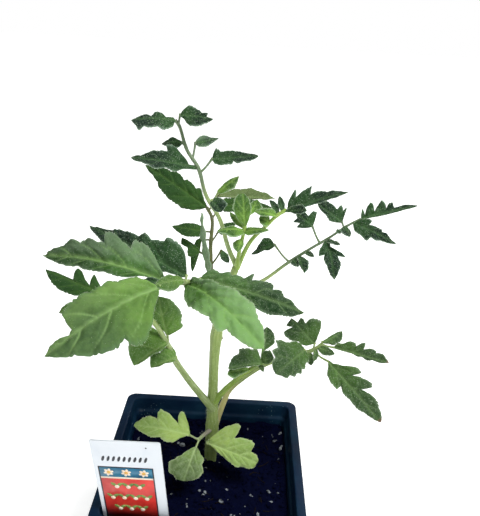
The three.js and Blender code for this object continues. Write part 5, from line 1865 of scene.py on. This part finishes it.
@dataclass
class Soil:
    """The potting soil: a crumbly bed, loose crumbs, bark fibres and white perlite, in millimetres."""

    pot: Pot
    workshop: Workshop
    level: float = 78.0
    relief: float = 0.9
    gap: float = 0.3
    rings: int = 70
    wall_clearance: float = 2.0
    # Seeds of the random draws for the crumbs, the fibres and the perlite.
    seeds: tuple[int, int, int] = (11, 23, 37)
    crumbs: int = 1500
    crumb_smallest: float = 0.35
    crumb_spread: float = 1.1
    fibres: int = 60
    fibre_shortest: float = 2.5
    fibre_longest: float = 7.0
    fibre_limit: float = 36.0
    strewn_perlite: int = 40
    strewn_smallest: float = 0.22
    strewn_spread: float = 0.4
    # Perlite grains that show in the photo: place on the soil and radius.
    shown_perlite: tuple[Point, ...] = (
        (3.9, -5.4, 1.1), (0.2, -14.7, 1.5), (-1.8, -13.2, 1.2), (9.0, -18.5, 1.2), (10.5, -12.9, 0.8),
        (22.4, -15.3, 0.9), (31.0, -13.3, 1.3), (35.1, -12.2, 1.0), (36.5, 19.8, 1.7), (34.5, 24.9, 1.4),
        (36.8, 29.3, 0.9), (-13.2, 17.6, 1.6), (-34.0, 20.6, 1.4), (-6.6, -23.3, 1.0), (-14.2, -16.4, 1.2),
        (30.6, -18.4, 1.1), (25.0, -26.0, 1.2), (14.1, -26.9, 0.9), (35.0, 10.6, 0.6), (20.6, 33.0, 0.8),
    )

    def height(self, x: float, y: float) -> float:
        """The soil's height: the CAD surface's waves with crumbs on top.

        Args:
            x: A place across the pot.
            y: A place from front to back.

        Returns:
            The height above the underside.
        """
        waves = (
            math.sin(0.31 * x + 1.7) * math.cos(0.27 * y - 0.4)
            + 0.6 * math.sin(0.62 * x - 0.55 * y)
            + 0.4 * math.cos(0.9 * y + 0.35 * x)
        )
        lumps = noise.fractal(Vector((x * 0.35, y * 0.35, 1.3)), 0.7, 2.1, 5)
        return self.level + self.relief * 0.5 * waves + 0.85 * lumps

    def build(self) -> None:
        """Make the bed and what lies on it."""
        self.bed()
        self.strew_crumbs()
        self.strew_fibres()
        self.strew_perlite()

    def bed(self) -> None:
        """Make the soil's solid body, which stands for its CAD node."""
        bottom = self.pot.wall + self.gap
        half = self.pot.inner_half(self.level) - self.gap
        corner = self.pot.corner_radius(half)
        low_half = self.pot.inner_half(bottom) - self.gap
        outline = squared_ring(half, self.level, corner, 24, 44)
        rings = [squared_ring(low_half, bottom, self.pot.corner_radius(low_half), 24, 44)]
        for i in range(self.rings):
            ring = outline * np.array([1 - i / self.rings, 1 - i / self.rings, 1.0])
            for point in ring:
                point[2] = self.height(float(point[0]), float(point[1]))
            rings.append(ring)
        draft = Draft("soil_bed")
        draft.add(np.vstack(rings), ring_faces(len(rings), len(outline)), PEAT)
        piece = draft.build(self.workshop, "potting_soil")
        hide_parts("soil")

    @staticmethod
    def lump_shape(steps: int) -> tuple[np.ndarray, list[list[int]]]:
        """A unit ball of triangles.

        Args:
            steps: How often its triangles are split.

        Returns:
            Its points and faces.
        """
        ball = bmesh.new()
        bmesh.ops.create_icosphere(ball, subdivisions=steps, radius=1)
        points = np.array([v.co for v in ball.verts])
        faces = [[v.index for v in f.verts] for f in ball.faces]
        ball.free()
        return points, faces

    def lump(
        self,
        draft: Draft,
        ball: tuple[np.ndarray, list[list[int]]],
        centre: Point,
        radius: float,
        finish: object,
        draw: random.Random,
    ) -> None:
        """Add one irregular grain.

        Args:
            draft: The piece that gets it.
            ball: The unit ball that it is made from.
            centre: Its middle.
            radius: Its mean radius.
            finish: Its finish.
            draw: The seeded draws.
        """
        points, faces = ball
        offset = Vector((draw.uniform(0, 90), draw.uniform(0, 90), draw.uniform(0, 90)))
        stretch = np.array([draw.uniform(0.75, 1.3), draw.uniform(0.75, 1.3), draw.uniform(0.55, 1.0)])
        angles = (draw.uniform(-0.5, 0.5), draw.uniform(-0.5, 0.5), draw.uniform(0, 6.28))
        turn = np.array(Euler(angles).to_matrix())
        bumps = np.array([1 + 0.35 * noise.noise(Vector(p) * 1.7 + offset) for p in points])
        shaped = (points * bumps[:, None] * stretch) @ turn.T * radius + np.array(centre)
        draft.add(shaped, faces, finish)

    def place(self, draw: random.Random) -> tuple[float, float]:
        """A random place on the soil, clear of the walls."""
        half = self.pot.inner_half(self.level) - self.wall_clearance
        return draw.uniform(-half, half), draw.uniform(-half, half)

    def strew_crumbs(self) -> None:
        """Lay loose crumbs of peat over the bed."""
        draw = random.Random(self.seeds[0])
        ball = self.lump_shape(1)
        draft = Draft("soil_crumbs")
        for _ in range(self.crumbs):
            x, y = self.place(draw)
            radius = self.crumb_smallest + self.crumb_spread * draw.random() ** 3
            self.lump(draft, ball, (x, y, self.height(x, y) + 0.2 * radius), radius, PEAT, draw)
        draft.build(self.workshop, "potting_soil")

    def strew_fibres(self) -> None:
        """Lay short bent bark fibres over the bed."""
        draw = random.Random(self.seeds[1])
        draft = Draft("soil_fibres")
        for _ in range(self.fibres):
            x, y = self.place(draw)
            angle = draw.uniform(0, 2 * math.pi)
            length = draw.uniform(self.fibre_shortest, self.fibre_longest)
            limit = self.fibre_limit
            points = []
            for share in (-0.5, -0.1, 0.5):
                px = x + length * share * math.cos(angle) + draw.uniform(-0.4, 0.4)
                py = y + length * share * math.sin(angle) + draw.uniform(-0.4, 0.4)
                px, py = min(limit, max(-limit, px)), min(limit, max(-limit, py))
                points.append((px, py, self.height(px, py) + 0.25))
            thick = draw.uniform(0.12, 0.28)
            path = Path(points)
            add_tube(draft, path, lambda share, r=thick: r * (1.1 - 0.5 * share), FIBRE, 6, 1.2)
        draft.build(self.workshop, "potting_soil")

    def strew_perlite(self) -> None:
        """Set the perlite grains, half sunk in the bed."""
        draw = random.Random(self.seeds[2])
        ball = self.lump_shape(2)
        draft = Draft("soil_perlite")
        for x, y, radius in self.shown_perlite:
            for _ in range(2):
                px, py = x + draw.uniform(-1, 1) * radius, y + draw.uniform(-1, 1) * radius
                part = radius * draw.uniform(0.4, 0.75)
                self.lump(draft, ball, (px, py, self.height(px, py) + 0.2 * part), part, PERLITE, draw)
        for _ in range(self.strewn_perlite):
            x, y = self.place(draw)
            radius = self.strewn_smallest + self.strewn_spread * draw.random() ** 2
            self.lump(draft, ball, (x, y, self.height(x, y)), radius, PERLITE, draw)
        draft.build(self.workshop, "potting_soil")


# ------------------------------------------------------------------ label


@dataclass
class Label:
    """The plant label: a die-cut sheet with sloping shoulders, a stake and a printed panel."""

    workshop: Workshop
    width: float = 27.5
    height: float = 43.5
    stake_height: float = 34.0
    stake_width: float = 14.0
    shoulder: float = 9.0
    point_width: float = 5.0
    thick: float = 0.8
    corner: float = 0.8
    foot: Point = (-25.7, -38.2, 86)
    lean_left: float = 3.2
    lean_forward: float = 8.3
    turn: float = -3.1
    edge_bevel: float = 0.12
    panel_middle: float = -1.1
    panel_half: float = 11.0
    panel_top: float = 29.7
    panel_bottom: float = -1.0
    panel_edge: float = 0.55
    band: float = 5.2
    band_rule: float = 0.9
    seed_row: float = 32.7
    ink_depth: float = 0.03
    ink_sunk: float = 0.05

    def matrix(self) -> Matrix:
        """The label's place: its two leans and its turn, then its foot."""
        angles = (self.lean_forward, -self.lean_left, self.turn)
        return Matrix.Translation(self.foot) @ Euler([math.radians(a) for a in angles]).to_matrix().to_4x4()

    def placed(self, points: np.ndarray) -> np.ndarray:
        """Move points from the label's own upright place to where it stands."""
        matrix = np.array(self.matrix())
        return points @ matrix[:3, :3].T + matrix[:3, 3]

    def outline(self, inset: float = 0.0) -> list[tuple[float, float]]:
        """The sheet's outline, in its own plane, drawn in by `inset`.

        Args:
            inset: How far it is drawn in.

        Returns:
            Points across and up, in order.
        """
        half = self.width / 2 - inset
        top = self.height - inset
        stake = self.stake_width / 2 - inset
        point = self.point_width / 2 - inset
        radius = self.corner
        arc = np.linspace(0, math.pi / 2, 8)
        right = [(half - radius + radius * math.cos(a), top - radius + radius * math.sin(a)) for a in arc]
        left = [(-x, y) for x, y in reversed(right)]
        return [
            (-point, inset - self.stake_height), (point, inset - self.stake_height),
            (stake, -self.shoulder), (half, 0.0), *right, *left, (-half, 0.0), (-stake, -self.shoulder),
        ]

    def slab(
        self, draft: Draft, outline: Sequence[tuple[float, float]], front: float, back: float, finish: object
    ) -> None:
        """Add a closed flat prism in the label's plane.

        Args:
            draft: The piece that gets it.
            outline: Its outline, across and up.
            front: How far its front face stands toward the reader.
            back: The same for its back face.
            finish: Its finish.
        """
        rings = [np.array([(x, -depth, y) for x, y in outline]) for depth in (front, back)]
        draft.add(self.placed(np.vstack(rings)), ring_faces(2, len(outline)), finish)

    def build(self) -> None:
        """Make the sheet, which stands for its CAD node, and its print."""
        draft = Draft("label_sheet")
        half = self.thick / 2
        rings = [
            np.array([(x, depth, y) for x, y in self.outline(inset)])
            for depth, inset in (
                (-half, self.edge_bevel), (self.edge_bevel - half, 0.0),
                (half - self.edge_bevel, 0.0), (half, self.edge_bevel),
            )
        ]
        draft.add(self.placed(np.vstack(rings)), ring_faces(4, len(rings[0])), LABEL_SHEET)
        piece = draft.build(self.workshop, "label_plastic", sharp_degrees=35)
        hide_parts("label")
        self.print_panel()

    def print_panel(self) -> None:
        """Lay the printed panel on the front: a framed garden pattern of flowers and leaves."""
        draft = Draft("label_print")
        front = self.thick / 2

        def ink(name: str, outline: Sequence[tuple[float, float]], layer: int) -> None:
            """Lay one flat shape of ink, higher layers over lower ones."""
            moved = [(x + self.panel_middle, y) for x, y in outline]
            self.slab(draft, moved, front + self.ink_depth * layer, front - self.ink_sunk, INKS[name])

        def box(low: tuple[float, float], high: tuple[float, float]) -> list[tuple[float, float]]:
            """The corners of an upright rectangle."""
            return [low, (high[0], low[1]), high, (low[0], high[1])]

        def petal(x: float, y: float, angle: float, length: float, wide: float) -> list[tuple[float, float]]:
            """A long oval that starts at (x, y) and points along the angle.

            Args:
                x: Its start, across the label.
                y: Its start, up the label.
                angle: Where it points.
                length: Its length.
                wide: Half of its width.

            Returns:
                The oval's points.
            """
            points = []
            for a in np.linspace(0, 2 * math.pi, 14, endpoint=False):
                along = length * (0.5 + 0.5 * math.cos(a))
                across = wide * math.sin(a)
                points.append((
                    x + along * math.cos(angle) - across * math.sin(angle),
                    y + along * math.sin(angle) + across * math.cos(angle),
                ))
            return points

        edge, band = self.panel_edge, self.band
        ink("line", box((-self.panel_half, self.panel_bottom), (self.panel_half, self.panel_top)), 1)
        low = (edge - self.panel_half, self.panel_bottom + edge)
        high = (self.panel_half - edge, self.panel_top - edge)
        ink("red", box(low, high), 2)
        ink("blue", box((low[0], high[1] - band), high), 3)
        ink("cream", box((low[0], high[1] - band - self.band_rule), (high[0], high[1] - band)), 3)
        for x in (-7.0, 0.0, 7.0):
            y = high[1] - band / 2
            for i in range(6):
                ink("cream", petal(x, y, i * math.pi / 3 + 0.3, 2.1, 0.62), 4)
            ink("gold", petal(x - 0.8, y, 0.0, 1.6, 0.8), 5)
        for row, y in enumerate((18.6, 12.0, 5.4)):
            for column in range(-2, 3):
                x = 4.6 * (column + 0.5 * (row % 2))
                if abs(x) > high[0] - 1.6:
                    continue
                for angle in (0.7, 2.44):
                    ink("green", petal(x, y, angle, 3.0, 0.75), 3)
                ink("cream", petal(x - 0.95, y - 0.3, 0.0, 1.9, 0.95), 4)
        for x in np.linspace(-8.4, 8.4, 9):
            ink("line", petal(float(x) - 0.4, self.seed_row, 1.25, 3.0, 0.55), 1)
        ink("line", petal(8.8, 40.7, 0.0, 0.7, 0.35), 1)
        draft.build(self.workshop, "label_plastic")


# ------------------------------------------------------------------ stem


@dataclass
class Stem:
    """The main stem, thick at the soil and swollen a little where each leaf leaves it."""

    workshop: Workshop
    points: tuple[Point, ...] = (
        (2, 9, 50), (2, 9, 78), (2.2, 9, 95), (2.2, 9, 107), (1.9, 9, 123), (2.1, 9, 139),
        (3.3, 9, 154), (6.7, 11, 168), (9.6, 12, 179),
    )
    radii: tuple[float, ...] = (1.4, 2.8, 2.9, 2.9, 2.2, 2.2, 2.6, 1.9, 1.3)
    joints: tuple[float, ...] = (92, 97, 111, 114, 146, 160, 165, 178)
    swell: float = 0.22
    swell_mm: float = 2.6
    hairs_per_mm: float = 14.0
    hair_length: float = 1.15
    hair_seed: int = 5

    def build(self) -> None:
        """Make the stem, which stands for its CAD node, and its hairs."""
        path = Path(self.points)
        knots = np.linspace(0, 1, len(self.radii))

        def radius_at(share: float) -> float:
            """The stem's radius at a share of its length.

            Args:
                share: A share of the stem's length.

            Returns:
                The radius.
            """
            z = float(path.at(share)[2])
            swell = sum(math.exp(-(((z - joint) / self.swell_mm) ** 2)) for joint in self.joints)
            return float(np.interp(share, knots, self.radii)) + self.swell * swell

        draft = Draft("stem_dressed")
        add_tube(draft, path, radius_at, SKIN_FINISHES[Skin.STEM], sides=28, step_mm=0.8, ridges=0.03)
        piece = draft.build(self.workshop, "stem_green")
        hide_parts("main_stem")
        hairs = HairCoat("stem_hairs", self.hair_seed)
        above_soil = Path(self.points[1:])
        shares = np.linspace(0, 1, len(self.radii) - 1)
        hairs.along_tube(
            above_soil,
            lambda share: float(np.interp(share, shares, self.radii[1:])),
            self.hairs_per_mm,
            self.hair_length,
        )
        hairs.draft.build(self.workshop, "stem_green")


# ------------------------------------------------------------------ studio


@dataclass
class Studio:
    """The plain pale floor, the soft lights and the camera, in millimetres and degrees."""

    camera_place: Point = (12.4, -227.3, 280.0)
    pitch_down: float = 22.0
    yaw: float = -0.3
    roll: float = 3.1
    focal_pixels: float = 600.0
    sensor_mm: float = 36.0
    floor_size: float = 12000.0
    pool_radius: float = 150.0
    pool_glow: float = 0.62
    zenith_glow: float = 0.22
    glow_heights: tuple[float, float] = (0.03, 0.16)
    aim: Point = (0.0, 0.0, 150.0)
    # Each softbox's name, place, width and power in watts.
    softboxes: tuple[tuple[str, Point, float, float], ...] = (
        ("key_light", (300.0, -260.0, 840.0), 260.0, 6.3),
        ("fill_light", (-420.0, -620.0, 420.0), 500.0, 0.5),
        ("back_light", (260.0, 560.0, 640.0), 400.0, 0.8),
    )

    def build(self) -> None:
        """Set up the floor, the lights and the camera."""
        self.floor()
        self.sky()
        for softbox in self.softboxes:
            self.softbox(*softbox)
        self.camera()
        view = bpy.context.scene.view_settings
        view.view_transform = "Standard"
        view.look = "None"

    def floor(self) -> None:
        """Lay the pale floor at the pot's underside."""
        half = self.floor_size / 2 * MM
        mesh = bpy.data.meshes.new("floor")
        square = [(-half, -half, 0), (half, -half, 0), (half, half, 0), (-half, half, 0)]
        mesh.from_pydata(square, [], [[0, 1, 2, 3]])
        material, tree, shader = new_material("studio_floor")
        place = add_node(tree, "TexCoord").outputs["Object"]
        reach = add_node(tree, "VectorMath", {"operation": "LENGTH", 0: place}).outputs["Value"]
        glow = add_node(tree, "MapRange", {
            "interpolation_type": "SMOOTHSTEP",
            "Value": reach,
            "From Min": self.pool_radius * MM,
            "From Max": 3 * self.pool_radius * MM,
            "To Min": self.pool_glow,
        })
        fill(tree, shader, {
            "Base Color": "f6f7f6",
            "Roughness": 0.9,
            "Emission Color": "ffffff",
            "Emission Strength": glow.outputs["Result"],
        })
        mesh.materials.append(material)
        floor = bpy.data.objects.new("floor", mesh)
        bpy.context.scene.collection.objects.link(floor)
        floor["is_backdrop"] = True

    def sky(self) -> None:
        """Light everything from a pale surround, brightest at the horizon."""
        world = bpy.data.worlds.new("studio")
        world.use_nodes = True
        tree = world.node_tree
        direction = add_node(tree, "TexCoord").outputs["Generated"]
        height = add_node(tree, "SeparateXYZ", {"Vector": direction}).outputs["Z"]
        strength = add_node(tree, "MapRange", {
            "interpolation_type": "SMOOTHSTEP",
            "Value": height,
            "From Min": self.glow_heights[0],
            "From Max": self.glow_heights[1],
            "To Min": 1.0,
            "To Max": self.zenith_glow,
        })
        fill(tree, tree.nodes["Background"], {"Color": "ffffff", "Strength": strength.outputs["Result"]})
        bpy.context.scene.world = world

    def softbox(self, name: str, place: Point, size: float, power: float) -> None:
        """Hang one square area light that looks at the plant.

        Args:
            name: The light's name.
            place: Where it hangs.
            size: Its width.
            power: Its power in watts.
        """
        light = bpy.data.lights.new(name, "AREA")
        light.shape = "SQUARE"
        light.size = size * MM
        light.energy = power
        lamp = bpy.data.objects.new(name, light)
        lamp.location = Vector(place) * MM
        gaze = Vector(self.aim) - Vector(place)
        lamp.rotation_euler = gaze.to_track_quat("-Z", "Y").to_euler()
        bpy.context.scene.collection.objects.link(lamp)

    def camera(self) -> None:
        """Set the camera at the photo's viewing point."""
        pitch, yaw, roll = (math.radians(a) for a in (self.pitch_down, self.yaw, self.roll))
        ahead = math.cos(pitch)
        forward = Vector((math.sin(yaw) * ahead, math.cos(yaw) * ahead, -math.sin(pitch)))
        level = Vector((math.cos(yaw), -math.sin(yaw), 0))
        above = level.cross(forward)
        right = level * math.cos(roll) + above * math.sin(roll)
        up = above * math.cos(roll) - level * math.sin(roll)
        camera = bpy.data.cameras.new("photo_camera")
        camera.sensor_width = self.sensor_mm
        camera.lens = self.focal_pixels * self.sensor_mm / max(IMAGE_WIDTH, IMAGE_HEIGHT)
        camera.clip_start = 0.01
        camera.clip_end = 50
        holder = bpy.data.objects.new("photo_camera", camera)
        turn = Matrix((right, up, -forward)).transposed().to_4x4()
        holder.matrix_world = Matrix.Translation(Vector(self.camera_place) * MM) @ turn
        bpy.context.scene.collection.objects.link(holder)
        bpy.context.scene.camera = holder


# ------------------------------------------------------------------ assembly


YOUNG_LEAVES = ("shoot_tip", "basal_leaf_left", "basal_leaf_right")
FIRST_LEAF_SEED = 100


def corners(box: tuple[Vector, Vector]) -> list[list[float]]:
    """A box's two corners as plain lists."""
    return [list(box[0]), list(box[1])]


def main() -> None:
    """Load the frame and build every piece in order."""
    logging.basicConfig(level=logging.INFO, format="%(message)s")
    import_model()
    cad_box = corners(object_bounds())
    studio = Studio()
    studio.build()

    workshop = Workshop()
    pot_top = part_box("pot")[1]
    pot = Pot(height=pot_top.z / MM, rim_half=pot_top.x / MM, workshop=workshop)
    pot.build()
    Soil(pot, workshop).build()
    Label(workshop).build()
    Stem(workshop).build()
    leaf_builder = LeafBuilder(workshop, BladeBuilder(BladeShape()))
    for seed, leaf in enumerate(LEAVES, FIRST_LEAF_SEED):
        slot = "young_leaf" if leaf.name in YOUNG_LEAVES else "leaf_green"
        leaf_builder.build(leaf, slot, seed)

    {"cad": cad_box, "visual": corners(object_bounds())}


if __name__ == "__main__":
    main()
